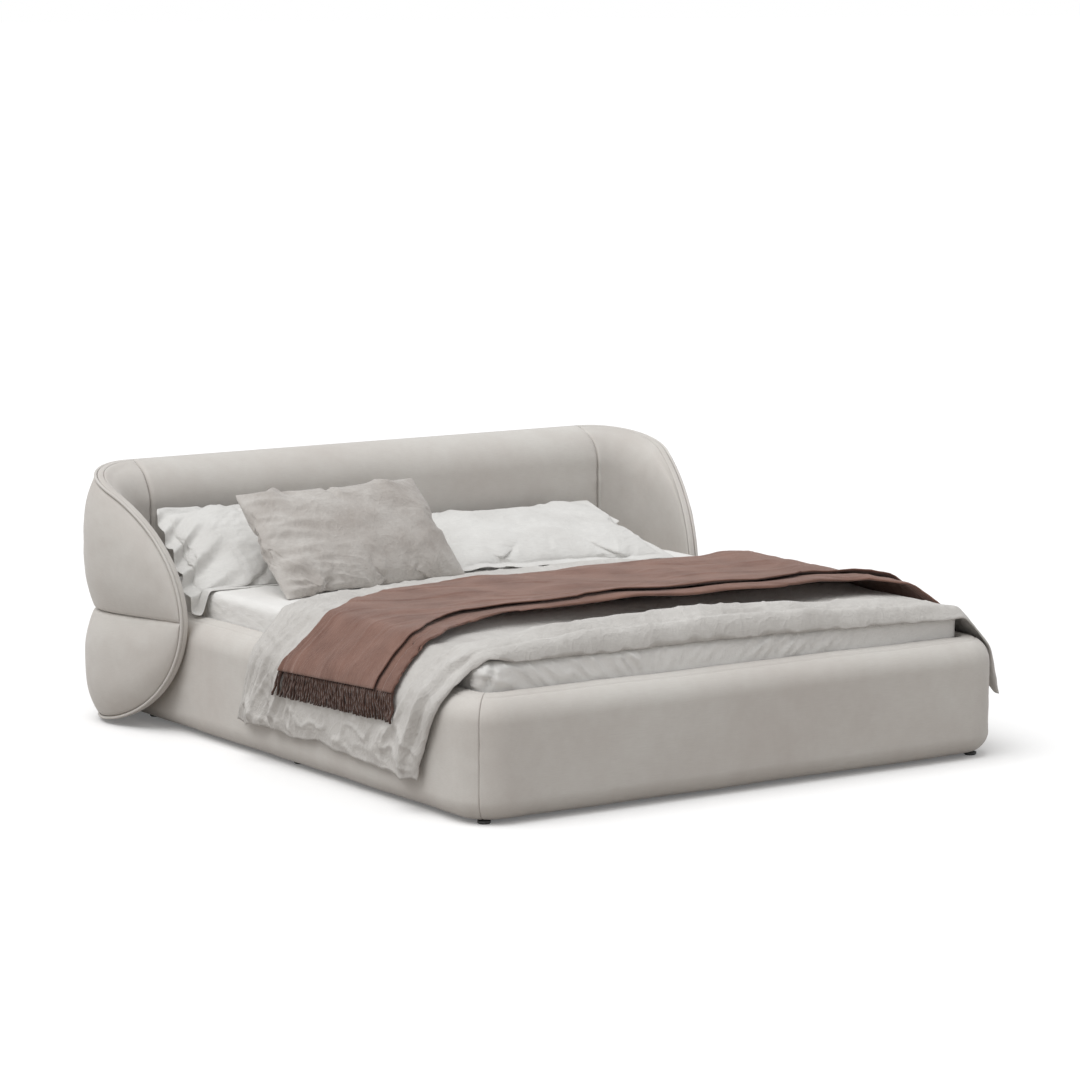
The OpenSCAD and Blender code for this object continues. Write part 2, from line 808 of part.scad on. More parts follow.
module rolled_side(r, h, edge) {
    intersection() {
        square([r, h]);
        union() {
            square([r - edge, h]);
            translate([0, edge]) square([r, h - 2 * edge]);
            for (z = [edge, h - edge]) translate([r - edge, z]) circle(edge);
        }
    }
}

// A block with rounded corners in plan and rolled edges, standing on z = 0
module rolled_block(w, l, h, r, edge) {
    translate([-w / 2 + r, -l / 2 + r, 0]) cube([w - 2 * r, l - 2 * r, h]);
    for (turn = [0, 180]) rotate([0, 0, turn]) {
        translate([w / 2 - r, -l / 2 + r, 0]) along_y(l - 2 * r) rolled_side(r, h, edge);
        translate([-w / 2 + r, l / 2 - r, 0]) along_x(w - 2 * r) rolled_side(r, h, edge);
        translate([w / 2 - r, l / 2 - r, 0]) rotate_extrude(angle = 90) rolled_side(r, h, edge);
        translate([w / 2 - r, -l / 2 + r, 0]) rotate([0, 0, -90])
            rotate_extrude(angle = 90) rolled_side(r, h, edge);
    }
}

mattress_mid_y = mattress_foot_y + mattress_l / 2;

module mattress() {
    shrink = sheet_t + sheet_gap;
    color([0.93, 0.93, 0.91])
    translate([0, mattress_mid_y, mattress_z + sheet_gap])
        rolled_block(mattress_w - 2 * shrink, mattress_l - 2 * shrink, mattress_h - 2 * sheet_gap,
            mattress_r - shrink, mattress_edge_r - shrink);
}

module fitted_sheet() {
    hem = 150;
    color([0.95, 0.95, 0.94])
    translate([0, mattress_mid_y, mattress_z]) difference() {
        translate([0, 0, -sheet_t])
            rolled_block(mattress_w, mattress_l, mattress_h + 2 * sheet_t, mattress_r, mattress_edge_r);
        rolled_block(mattress_w - 2 * sheet_t, mattress_l - 2 * sheet_t, mattress_h,
            mattress_r - sheet_t, mattress_edge_r - sheet_t);
        translate([-mattress_w / 2 + hem, -mattress_l / 2 + hem, -sheet_t - over])
            cube([mattress_w - 2 * hem, mattress_l - 2 * hem, sheet_t + 2 * over]);
    }
}

// Bedding: a section across the bed, at a distance w from the middle line over the cloth.
// It lies on the mattress, turns over its rolled edge, slopes to the rail and hangs beside it.
bed_side = base_w / 2;
wrap_slack = 2;
rail_slack = 12;
lie_w = mattress_w / 2 - mattress_edge_r;
hang_x = bed_side + rail_slack;
hang_z = rail_top - top_roll_r;
lie_z = mattress_top + lift_fit;
lie_rise = wrap_slack - lift_fit;
edge_wrap = mattress_edge_r + wrap_slack;
rail_wrap = top_roll_r + rail_slack;
edge_mid = [lie_w, mattress_top - mattress_edge_r];
rail_mid = [bed_side - top_roll_r, hang_z];
slope_run = sqrt(pow(norm(rail_mid - edge_mid), 2) - pow(rail_wrap - edge_wrap, 2));
slope_a = atan2(rail_mid[1] - edge_mid[1], rail_mid[0] - edge_mid[0])
    + acos((edge_wrap - rail_wrap) / norm(rail_mid - edge_mid));
edge_turn = edge_wrap * (90 - slope_a) * PI / 180;
rail_turn = rail_wrap * slope_a * PI / 180;
shoulder_w = edge_turn + slope_run + rail_turn;
hem_left = lie_w + shoulder_w + hang_z - 115;
hem_right = lie_w + shoulder_w + hang_z - 190;

// x and z of a point of the section, at an offset from the underside of the duvet
function turned(mid, r, a) = mid + r * [cos(a), sin(a)];
function draped(w, off) =
    let (t = w - lie_w)
    t <= 0
    ? [w, lie_z + lie_rise * ramp(w, lie_w - 320, lie_w) + off]
    : t <= edge_turn
    ? turned(edge_mid, edge_wrap + off, 90 - t / edge_wrap * 180 / PI)
    : t <= edge_turn + slope_run
    ? turned(edge_mid, edge_wrap + off, slope_a) + (t - edge_turn) * [sin(slope_a), -cos(slope_a)]
    : t <= shoulder_w
    ? turned(rail_mid, rail_wrap + off, (shoulder_w - t) / rail_wrap * 180 / PI)
    : [hang_x + off, hang_z - (t - shoulder_w)];

// Edges of the duvet and the throw over the width of the cloth: the duvet's head edge as
// distances from the mattress's head end, the other edges from its foot end
throw_left = lie_w + shoulder_w - 15;
throw_right = lie_w + shoulder_w - 52;
duvet_head = [[-hem_left, -760], [-lie_w - shoulder_w, -836], [-lie_w - 65, -876],
    [30 - lie_w, -800], [132 - lie_w, -710], [-20, -580], [0.41 * lie_w, -582],
    [lie_w - 272, -650], [lie_w - 122, -712], [lie_w + shoulder_w, -736], [hem_right, -746]];
duvet_foot = [[-hem_left, 223], [105 - hem_left, 139], [-lie_w - 142, 49], [-lie_w - 43, -35],
    [lie_w + 20, -35], [lie_w + shoulder_w, -20], [hem_right, -56]];
throw_back = [[-throw_left, 960], [-lie_w - 146, 942], [-lie_w - 62, 930], [72 - lie_w, 988],
    [196 - lie_w, 1086], [338 - lie_w, 1158], [-0.37 * lie_w, 1172], [0, 1154],
    [lie_w - 52, 1148], [throw_right, 1124]];
throw_front = [[-throw_left, 298], [-lie_w - 46, 276], [18 - lie_w, 290], [140 - lie_w, 374],
    [262 - lie_w, 456], [358 - lie_w, 496], [486 - lie_w, 530], [-0.21 * lie_w, 512],
    [0.09 * lie_w, 468], [0.5 * lie_w, 366], [lie_w - 172, 372], [lie_w - 72, 330],
    [lie_w + 60, 250], [throw_right, 150]];
// How far the upper half's edge lies behind the front
second_fold = [[-throw_left, 128], [-lie_w - 28, 120], [-0.8 * lie_w, 150],
    [-0.58 * lie_w, 145], [-0.42 * lie_w, 85], [-0.11 * lie_w, 60], [0.11 * lie_w, 40],
    [0.34 * lie_w, 40], [0.62 * lie_w, 100], [throw_right, 125]];
function duvet_head_y(q) = mattress_head_y + lookup(q, duvet_head);
function duvet_foot_y(q) = mattress_foot_y + lookup(q, duvet_foot);
function throw_back_y(q) = mattress_foot_y + lookup(q, throw_back);
function throw_front_y(q) = mattress_foot_y + lookup(q, throw_front);

foot_overhang = 40;
function foot_drop(q, y) = foot_overhang * ramp(mattress_foot_y - y, -8, 40)
    * (1 - ramp(abs(q), lie_w - 20, lie_w + 80));

// The hanging folds: a wave and a shorter one over it, held flatter by the throw
throw_hold = 0.8;
short_wave = 0.61;
function under_throw(y) = ramp(y - throw_front_y(-throw_left), -86, 14)
    * (1 - ramp(y - throw_back_y(-throw_left), -16, 84));
function fold(q, y, z) =
    let (depth = fold_depth * ramp(hang_z + 60 - z, 0, 240))
    depth * (1 - throw_hold * (q < 0 ? under_throw(y) : 0))
    * (0.5 - 0.35 * cos(360 * y / fold_pitch)
        - 0.15 * cos(360 * y / (fold_pitch * short_wave) + 40));

// A point of the bedding at signed width q, place y and an offset above the duvet's underside
function bedding(q, y, off) =
    let (p = draped(abs(q), off), x = p[0] + fold(q, y, p[1]) * (abs(q) > lie_w ? 1 : 0))
    [q < 0 ? -x : x, y, p[1] - foot_drop(q, y)];

side_steps = [for (w = [0, 0.27, 0.54, 0.78, 1]) w * lie_w];
shoulder_steps = [for (t = [edge_turn / 2, edge_turn, edge_turn + slope_run / 3,
    edge_turn + 2 * slope_run / 3, edge_turn + slope_run, shoulder_w - 2 * rail_turn / 3,
    shoulder_w - rail_turn / 3, shoulder_w]) lie_w + t];
function half_steps(end) = concat(side_steps, shoulder_steps,
    [for (k = [1:3]) mix(lie_w + shoulder_w, end, k / 3)]);
function mirrored(list) = [for (k = [len(list) - 1:-1:1]) -list[k]];

duvet_shares = [0, 0.012, 0.03, 0.055, 0.09, 0.13, 0.17, 0.21, 0.26, 0.31, 0.36, 0.42, 0.48,
    0.54, 0.6, 0.66, 0.72, 0.78, 0.84, 0.9, 0.955, 1];
edge_puff = 9;
side_thin = 14;
function duvet_depth(q, share) =
    edge_puff + (duvet_t - edge_puff - side_thin * ramp(abs(q), lie_w - 90, lie_w + 40))
    * ramp(share, 0, 0.03) * (1 - ramp(share, 0.975, 1))
    + duvet_roll * ramp(share, 0, 0.09) * (1 - ramp(share, 0.17, 0.36))
    * (1 - ramp(abs(q), lie_w - 180, lie_w + 40));
function hem_taper(q) =
    let (hem = q < 0 ? hem_left : hem_right) 1 - 0.6 * ramp(abs(q), hem - 50, hem);

module duvet() {
    q_list = concat(mirrored(half_steps(hem_left)), half_steps(hem_right));
    grid = function (top) [for (q = q_list) [for (share = duvet_shares)
        let (y = mix(duvet_foot_y(q), duvet_head_y(q), share))
        bedding(q, y, top ? duvet_depth(q, share) * hem_taper(q) : 0)]];
    color([0.80, 0.79, 0.77]) pad(grid(true), grid(false));
}

// The throw lies on the duvet, folded over, with the fold of its lower half showing; the cloth
// bunched up inside makes its front stand higher towards the right
throw_lift = 2;
throw_stand = 40;
function stood(q, far) = ramp(q, -0.85 * lie_w, 0.3 * lie_w)
    * (1 - ramp(q, lie_w - 60, lie_w + 60)) * (1 - ramp(far, 60, 260));
// The stiff cloth stands off the duvet where it turns over the right shoulder
throw_arch = 34;
function arched(q) = ramp(q, lie_w - 190, lie_w + 20) * (1 - ramp(q, lie_w + 60, lie_w + 190));
module throw_blanket() {
    q_list = concat(
        [for (q = mirrored(half_steps(hem_left))) if (q > -throw_left + 20) q],
        [for (q = half_steps(hem_right)) if (q < throw_right - 20) q]);
    all_q = concat([-throw_left], q_list, [throw_right]);
    rows = function (q)
        let (front = throw_front_y(q), back = throw_back_y(q), edge = front + lookup(q, second_fold))
        concat([front, edge, edge + 3], [for (k = [1:9]) mix(edge + 3, back, k / 9)]);
    base = function (q, y)
        let (share = (y - duvet_foot_y(q)) / (duvet_head_y(q) - duvet_foot_y(q)))
        duvet_depth(q, share) + throw_lift + 4 * ramp(abs(q), lie_w - 120, lie_w + 60)
        + 2 * ramp(abs(q), lie_w + 100, lie_w + shoulder_w) + throw_arch * arched(q);
    grid = function (top) [for (q = all_q) let (y_list = rows(q)) [for (k = [0:len(y_list) - 1])
        bedding(q, y_list[k], base(q, y_list[k]) + (top ? (k < 2 ? throw_t / 2 : throw_t)
            + throw_stand * stood(q, y_list[k] - y_list[0]) : 0))]];
    color([0.47, 0.35, 0.32]) pad(grid(true), grid(false));
}

fringe_t = 3;
module throw_fringe() {
    front = throw_front_y(-throw_left) + 12;
    back = throw_back_y(-throw_left) - 4;
    pitch = (back - front) / tassels;
    end = draped(throw_left, duvet_t - side_thin + throw_lift + 3 + throw_t);
    header = 8;
    color([0.22, 0.16, 0.14])
    translate([-end[0] - fringe_t, 0, 0]) along_x(fringe_t)
        polygon(concat(
            [[back, end[1] - fit], [front, end[1] - fit]],
            [for (k = [0:tassels - 1]) let (y = front + k * pitch) each [
                [y, end[1] - fringe_l], [y + 0.8 * pitch, end[1] - fringe_l],
                [y + 0.8 * pitch, end[1] - header], [y + pitch, end[1] - header]]]));
}

// A cushion between four corners, given from the lower left, against the clock. Its sides
// draw in between the corners, its middle swells, and it lies on the mattress.
cushion_steps = 14;
function drawn(u, v, draw) = u * (1 - draw * (1 - v * v));
pillow_power = 0.62;
function support(p) = mattress_top + lift_fit
    - (mattress_top - rail_top) * ramp(abs(p[0]) - mattress_w / 2, 5, 38);

module cushion(corners, fullness, draw) {
    share = [for (k = [0:cushion_steps]) let (t = 2 * k / cushion_steps - 1) t * (1.25 - 0.25 * t * t)];
    mid = function (u, v)
        mix(mix(corners[0], corners[1], (1 + u) / 2), mix(corners[3], corners[2], (1 + u) / 2), (1 + v) / 2);
    across = corners[1] - corners[0] + corners[2] - corners[3];
    along = corners[3] - corners[0] + corners[2] - corners[1];
    n = cross(across, along);
    out = n / norm(n);
    half = function (u, v)
        flange_t / 2 + fullness / 2 * pow(max(0, (1 - pow(u, 4)) * (1 - pow(v, 4))), pillow_power);
    point = function (u, v, way)
        let (p = mid(drawn(u, v, draw), drawn(v, u, draw)) + way * half(u, v) * out,
            low = support(p) + (way > 0 ? flange_t : 0))
        [p[0], p[1], max(p[2], low)];
    front = [for (u = share) [for (v = share) point(u, v, 1)]];
    back = [for (u = share) [for (v = share) point(u, v, -1)]];
    pad(front, back);
}

// Corners: across from the middle line, along from the mattress's head end, up from its top
function corner(x, y, z) = [x, mattress_head_y + y, mattress_top + z];
side_x = mattress_w / 2;
under_edge = rail_top - mattress_top + 10;
above = 8;

module pillow_left() {
    color([0.78, 0.78, 0.77])
    cushion([corner(-side_x - 40, -365, under_edge), corner(-180, -436, above),
        corner(-165, -10, 224), corner(5 - side_x, -6, 234)], pillow_t, 0.05);
}

module pillow_right() {
    color([0.78, 0.78, 0.77])
    cushion([corner(-45, -484, above), corner(side_x - 148, -648, above),
        corner(side_x - 70, -11, 130), corner(5, -11, 130)], pillow_t * 0.72, 0.045);
}

module throw_cushion() {
    color([0.66, 0.62, 0.58])
    cushion([corner(110 - side_x, -664, 0), corner(-20, -522, 0),
        corner(-128, -358, 316), corner(128 - side_x, -296, 299)], cushion_t, 0.07);
}

side_cover(-1);  // side_cover_left
side_cover(1);  // side_cover_right
foot_cover();
side_board(-1);  // side_board_left
side_board(1);  // side_board_right
foot_board();
head_crossrail();
corner_posts();
corner_brackets();
bracket_bolts();
base_feet();
ledgers();
centre_beam();
beam_hangers();
centre_legs();
glide(0);  // glide_foot
glide(1);  // glide_middle
glide(2);  // glide_head
headboard_panel();
headboard_uprights();
headboard_rails();
headboard_bolts();
headboard_glides();
wing_board(-1);  // wing_board_left
wing_board(1);  // wing_board_right
centre_pad();
inner_pad(-1);  // inner_pad_left
inner_pad(1);  // inner_pad_right
back_cover_upper();
back_cover_lower();
wing_cover_upper(-1);  // wing_cover_upper_left
wing_cover_upper(1);  // wing_cover_upper_right
wing_cover_lower(-1);  // wing_cover_lower_left
wing_cover_lower(1);  // wing_cover_lower_right
edge_roll(-1);  // edge_roll_left
edge_roll(1);  // edge_roll_right
piping(-1);  // piping_left
piping(1);  // piping_right
piping_back();
frame_side_tubes();
frame_end_tubes();
slats();
slat_shoes();
mattress();
fitted_sheet();
duvet();
throw_blanket();
throw_fringe();
pillow_left();
pillow_right();
throw_cushion();
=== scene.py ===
import json
import math

import bpy
import numpy as np
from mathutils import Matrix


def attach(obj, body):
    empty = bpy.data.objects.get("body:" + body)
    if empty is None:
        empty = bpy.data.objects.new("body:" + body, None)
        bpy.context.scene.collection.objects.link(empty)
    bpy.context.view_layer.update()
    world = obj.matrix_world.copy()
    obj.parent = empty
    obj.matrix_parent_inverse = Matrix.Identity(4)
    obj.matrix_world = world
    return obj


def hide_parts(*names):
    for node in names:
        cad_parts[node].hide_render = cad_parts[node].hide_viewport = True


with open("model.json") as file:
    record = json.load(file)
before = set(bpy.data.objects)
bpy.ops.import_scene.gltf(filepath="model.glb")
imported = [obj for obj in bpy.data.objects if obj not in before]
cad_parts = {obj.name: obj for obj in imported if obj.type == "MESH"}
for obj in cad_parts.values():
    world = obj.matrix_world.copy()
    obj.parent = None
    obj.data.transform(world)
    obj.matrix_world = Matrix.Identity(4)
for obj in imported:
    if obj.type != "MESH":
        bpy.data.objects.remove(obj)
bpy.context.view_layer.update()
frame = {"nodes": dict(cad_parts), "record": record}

# Sizes, in metres
MATTRESS_W, MATTRESS_L, MATTRESS_H = 1.8, 2.0, 0.218
MATTRESS_R, MATTRESS_EDGE = 0.06, 0.028
SHEET_T, MATTRESS_TOP = 0.0015, 0.466
RAIL_T, RAIL_TOP, FLOOR_GAP = 0.094, 0.382, 0.010
CORNER_R, TOP_ROLL, BOTTOM_ROLL = 0.132, 0.082, 0.066
BOARD_T, BOARD_LIFT, BOARD_DROP = 0.025, 0.014, 0.026
HEAD_H, HEAD_GAP, SEAM_Z = 0.845, 0.012, 0.376
PAD_T, BATTEN_D, PANEL_T = 0.06, 0.06, 0.018
WRAP_R, WING_L, TOE_IN, NOSE_GAP = 0.2, 0.318, math.radians(15.3), 0.0015
COVER_SEAM, COVER_RIM, COVER_T = 0.015, 0.008, 0.050
PAD_ROLL, EDGE_T, PIPING_R, EDGE_LIP = 0.12, 0.01, 0.005, 0.003
RIM_UP, RIM_DOWN, UP_POWER, DOWN_POWER = 0.668, 0.42, 1.95, 1.9
FIT, LIFT = 0.0003, 0.0004
DUVET_T = 0.024
RAIL_SLACK, SIDE_THIN = 0.012, 0.014
FOLD_DEPTH, FOLD_PITCH = 0.026, 0.15
MATTRESS_CLEAR, PAD_CLEAR, MERGE = 0.006, 0.032, 0.00002
COVER_INSET, COVER_LEAST, PIPING_GAP = 0.0015, 0.001, 0.0012
PAD_ABOVE_RAIL, PAD_NOSE, BATTEN_DOWN, BATTEN_H = 0.013, 0.004, 0.095, 0.04

BASE_SIDE = MATTRESS_W / 2 + MATTRESS_CLEAR + RAIL_T
FOOT_Y = -(RAIL_T + MATTRESS_CLEAR + MATTRESS_L + PAD_CLEAR + PAD_T + BATTEN_D + PANEL_T
    + COVER_T) / 2
WELL_FOOT = FOOT_Y + RAIL_T
MATTRESS_FOOT = WELL_FOOT + MATTRESS_CLEAR
MATTRESS_HEAD = MATTRESS_FOOT + MATTRESS_L
PAD_FRONT = MATTRESS_HEAD + PAD_CLEAR
BATTEN_FRONT = PAD_FRONT + PAD_T
PANEL_FRONT = BATTEN_FRONT + BATTEN_D
PANEL_BACK = PANEL_FRONT + PANEL_T
INNER_X = BASE_SIDE - RAIL_T
CORNER_X, CORNER_Y = BASE_SIDE - CORNER_R, FOOT_Y + CORNER_R
BOARD_Z, BOARD_TOP = FLOOR_GAP + BOARD_LIFT, RAIL_TOP - BOARD_DROP
EDGE_REACH = PANEL_T / 2 + EDGE_LIP
NOSE_X = BASE_SIDE + NOSE_GAP + EDGE_REACH
WRAP_X = NOSE_X + WING_L * math.sin(TOE_IN) - WRAP_R * math.cos(TOE_IN)
WRAP_Y = PANEL_BACK - PANEL_T / 2 - WRAP_R
WRAP_L = WING_L + WRAP_R * (math.pi / 2 + TOE_IN)
MATTRESS_Z = MATTRESS_TOP - MATTRESS_H - SHEET_T

# Camera, floor, light
CAMERA_AT = (-6.9619, -10.4070, 2.4282)
CAMERA_DOWN, CAMERA_YAW, LENS_MM = 0.14248, 0.58970, 129.65


def tidy_selection():
    if bpy.context.object and bpy.context.object.mode != "OBJECT":
        bpy.ops.object.mode_set(mode="OBJECT")
    bpy.ops.object.select_all(action="DESELECT")


def pick(*objs):
    tidy_selection()
    for o in objs:
        o.select_set(True)
    bpy.context.view_layer.objects.active = objs[0]


def place_camera():
    tidy_selection()
    bpy.ops.object.camera_add(
        location=CAMERA_AT, rotation=(math.pi / 2 - CAMERA_DOWN, 0, -CAMERA_YAW))
    camera = bpy.context.object
    camera.name = "camera"
    camera.data.lens, camera.data.sensor_width = LENS_MM, 36
    camera.data.clip_end = 2000
    bpy.context.scene.camera = camera


place_camera()


# Material helpers
def fill(tree, node, inputs):
    """Links or fills in a node's inputs, and gives the node back."""
    for key, value in dict(inputs).items():
        if isinstance(value, bpy.types.NodeSocket):
            tree.links.new(value, node.inputs[key])
        else:
            node.inputs[key].default_value = value
    return node


def put(tree, kind, inputs=(), **props):
    """A node with its properties set and its inputs linked or filled in."""
    n = tree.nodes.new(kind)
    for key, value in props.items():
        setattr(n, key, value)
    return fill(tree, n, inputs)


def maths(tree, how, a, b=0.5, clamp=False):
    return put(tree, "ShaderNodeMath", {0: a, 1: b}, operation=how, use_clamp=clamp).outputs[0]


def plus(tree, a, b):
    return maths(tree, "ADD", a, b)


def times(tree, a, b, clamp=False):
    return maths(tree, "MULTIPLY", a, b, clamp)


def blend_colour(tree, factor, a, b):
    """Of the mix node's sockets, 0, 6, 7 and the output 2 are the ones for colours."""
    return put(tree, "ShaderNodeMix", {0: factor, 6: a, 7: b}, data_type="RGBA").outputs[2]


def noise(tree, at, scale, detail, **more):
    """The grey of a noise texture."""
    return put(tree, "ShaderNodeTexNoise", {"Vector": at, "Scale": scale, "Detail": detail,
        **more}).outputs["Fac"]


def bump(tree, height, strength, metres, **more):
    """A normal that follows a height."""
    return put(tree, "ShaderNodeBump", {"Height": height, "Strength": strength,
        "Distance": metres, **more}).outputs[0]


def camera_seen(tree):
    """1 for what the camera sees straight, mirrored or through glass, 0 for light on its way."""
    rays = tree.nodes.new("ShaderNodeLightPath").outputs
    return maths(tree, "MAXIMUM", rays["Is Camera Ray"], maths(tree, "MAXIMUM",
        rays["Is Glossy Ray"], rays["Is Transmission Ray"]))


def effect(name, inputs, outputs):
    """An empty shader group with named sockets."""
    tree = bpy.data.node_groups.new(name, "ShaderNodeTree")
    for label, kind, value in inputs:
        s = tree.interface.new_socket(label, in_out="INPUT", socket_type="NodeSocket" + kind)
        if value is not None:
            s.default_value = value
    for label, kind in outputs:
        tree.interface.new_socket(label, in_out="OUTPUT", socket_type="NodeSocket" + kind)
    return tree, tree.nodes.new("NodeGroupInput"), tree.nodes.new("NodeGroupOutput")


def mottle_group():
    """Soft uneven tone, as of brushed or washed cloth."""
    t, gi, go = effect("soft_mottle", [("Vector", "Vector", None), ("Size", "Float", 0.2),
        ("Light", "Color", (1, 1, 1, 1)), ("Dark", "Color", (0, 0, 0, 1)),
        ("Amount", "Float", 1.0)], [("Colour", "Color"), ("Mask", "Float")])
    scale = maths(t, "DIVIDE", 1.0, gi.outputs["Size"])
    wide = noise(t, gi.outputs["Vector"], scale, 3.0, Roughness=0.5, Distortion=0.3)
    fine = noise(t, gi.outputs["Vector"], times(t, scale, 9.0), 4.0, Roughness=0.65)
    both = plus(t, times(t, wide, 0.72), times(t, fine, 0.28))
    mask = times(t, maths(t, "SUBTRACT", both, 0.35, True), 3.0, True)
    mask = times(t, mask, gi.outputs["Amount"])
    fill(t, go, {"Mask": mask,
        "Colour": blend_colour(t, mask, gi.outputs["Light"], gi.outputs["Dark"])})
    return t


def weave_group():
    """Threads over and under each other, with uneven yarn."""
    t, gi, go = effect("plain_weave", [("Vector", "Vector", None),
        ("Threads per metre", "Float", 600.0), ("Slub", "Float", 0.4)],
        [("Height", "Float"), ("Yarn", "Float")])
    slub = noise(t, gi.outputs["Vector"], 90.0, 2.0)
    parts = put(t, "ShaderNodeSeparateXYZ", {0: gi.outputs["Vector"]})
    turn = times(t, gi.outputs["Threads per metre"], 2 * math.pi)
    shift = times(t, slub, times(t, gi.outputs["Slub"], 4))
    warp, weft = (maths(t, "SINE", plus(t, times(t, parts.outputs[k], turn), shift))
        for k in (0, 1))
    height = plus(t, times(t, times(t, warp, weft), 0.5), 0.5)
    long_way = put(t, "ShaderNodeMapping", {"Vector": gi.outputs["Vector"],
        "Scale": (30.0, 700.0, 30.0)})
    fill(t, go, {"Height": height, "Yarn": noise(t, long_way.outputs[0], 1.0, 2.0)})
    return t


def crease_group():
    """Thin pressed lines, as on washed linen that was folded and slept in."""
    t, gi, go = effect("fine_creases", [("Vector", "Vector", None), ("Size", "Float", 0.08),
        ("Stretch", "Vector", (1.0, 1.0, 1.0))], [("Height", "Float")])
    at = put(t, "ShaderNodeVectorMath", {0: gi.outputs["Vector"], 1: gi.outputs["Stretch"]},
        operation="MULTIPLY")
    scale = maths(t, "DIVIDE", 1.0, gi.outputs["Size"])
    total = None
    for factor, weight in ((1.0, 0.5), (2.3, 0.3), (5.1, 0.2)):
        field = noise(t, at.outputs[0], times(t, scale, factor), 1.0, Distortion=0.6)
        off = maths(t, "ABSOLUTE", maths(t, "SUBTRACT", field, 0.5))
        line = times(t, maths(t, "SUBTRACT", 1.0, times(t, off, 9.0, True)), weight)
        total = line if total is None else plus(t, total, line)
    fill(t, go, {"Height": total})
    return t


def grain_group():
    """Wood figure along the piece's longest way."""
    t, gi, go = effect("wood_grain", [("Vector", "Vector", None),
        ("Along", "Vector", (1.0, 1.0, 1.0)), ("Light", "Color", (1, 1, 1, 1)),
        ("Dark", "Color", (0, 0, 0, 1))], [("Colour", "Color"), ("Height", "Float")])
    at = put(t, "ShaderNodeVectorMath", {0: gi.outputs["Vector"], 1: gi.outputs["Along"]},
        operation="MULTIPLY")
    rings = noise(t, at.outputs[0], 22.0, 3.0, Distortion=1.2)
    pores = noise(t, at.outputs[0], 260.0, 2.0)
    wave = maths(t, "FRACT", times(t, rings, 9.0))
    both = plus(t, times(t, wave, 0.6), times(t, pores, 0.4))
    fill(t, go, {"Height": both,
        "Colour": blend_colour(t, both, gi.outputs["Light"], gi.outputs["Dark"])})
    return t


def wear_group():
    """Dust and handling marks: a broken mask in patches."""
    t, gi, go = effect("handling_marks", [("Vector", "Vector", None), ("Size", "Float", 0.1)],
        [("Mask", "Float")])
    scale = maths(t, "DIVIDE", 1.0, gi.outputs["Size"])
    patch = noise(t, gi.outputs["Vector"], scale, 6.0, Roughness=0.7)
    scratch = noise(t, gi.outputs["Vector"], times(t, scale, 14.0), 3.0)
    fill(t, go, {"Mask": times(t, times(t, patch, scratch), 2.2, True)})
    return t


MOTTLE, WEAVE, CREASE = mottle_group(), weave_group(), crease_group()
GRAIN, WEAR = grain_group(), wear_group()


def use(tree, group, **inputs):
    """A group's node, with its inputs linked or filled in."""
    n = put(tree, "ShaderNodeGroup", node_tree=group)
    labels = {"Threads": "Threads per metre"}
    return fill(tree, n, {labels.get(key, key): value for key, value in inputs.items()})


def blank(name):
    m = bpy.data.materials.new(name)
    m.use_nodes = True
    shader = m.node_tree.nodes["Principled BSDF"]
    where = m.node_tree.nodes.new("ShaderNodeTexCoord")
    return m, m.node_tree, shader, where


def rgba(c, factor=1.0):
    return (c[0] * factor, c[1] * factor, c[2] * factor, 1.0)


def cloth(name, light, dark, rough, sheen, threads, slub, patch, weave_mm, crease_mm=0.0,
          crease_size=0.08, stretch=(1, 1, 1), sheen_tint=None):
    """A woven finish on the piece's own unrolled map, in metres."""
    m, t, shader, where = blank(name)
    at = where.outputs["UV"]
    tone = use(t, MOTTLE, Vector=where.outputs["Object"], Size=patch, Light=rgba(light),
        Dark=rgba(dark))
    weave = use(t, WEAVE, Vector=at, Threads=threads, Slub=slub)
    shade = times(t, maths(t, "SUBTRACT", weave.outputs["Yarn"], 0.42, True), 0.9, True)
    normal = bump(t, weave.outputs["Height"], 0.5, weave_mm / 1000)
    if crease_mm:
        crease = use(t, CREASE, Vector=at, Size=crease_size, Stretch=stretch)
        normal = bump(t, crease.outputs["Height"], 0.6, crease_mm / 1000, Normal=normal)
    if sheen_tint:
        fill(t, shader, {"Sheen Tint": rgba(sheen_tint)})
    fill(t, shader, {"Base Color": blend_colour(t, shade, tone.outputs["Colour"],
        rgba(dark, 0.86)), "Roughness": rough, "Sheen Weight": sheen, "Sheen Roughness": 0.45,
        "Specular IOR Level": 0.25, "Normal": normal})
    return m


def timber(name, light, dark, along, rough):
    m, t, shader, where = blank(name)
    wood = use(t, GRAIN, Vector=where.outputs["Object"], Along=along, Light=rgba(light),
        Dark=rgba(dark))
    fill(t, shader, {"Base Color": wood.outputs["Colour"], "Roughness": rough,
        "Normal": bump(t, wood.outputs["Height"], 0.4, 0.0004)})
    return m


def hard(name, colour, mark, metal, low, high, grain_mm=0.1, size=0.05):
    """Metal, powder coat or plastic, with marks that change its gloss."""
    m, t, shader, where = blank(name)
    marks = use(t, WEAR, Vector=where.outputs["Object"], Size=size).outputs["Mask"]
    peel = noise(t, where.outputs["Object"], 900.0, 2.0)
    fill(t, shader, {"Base Color": blend_colour(t, marks, rgba(colour), rgba(mark)),
        "Metallic": metal, "Roughness": plus(t, times(t, marks, high - low), low),
        "Normal": bump(t, peel, 0.3, grain_mm / 1000)})
    return m


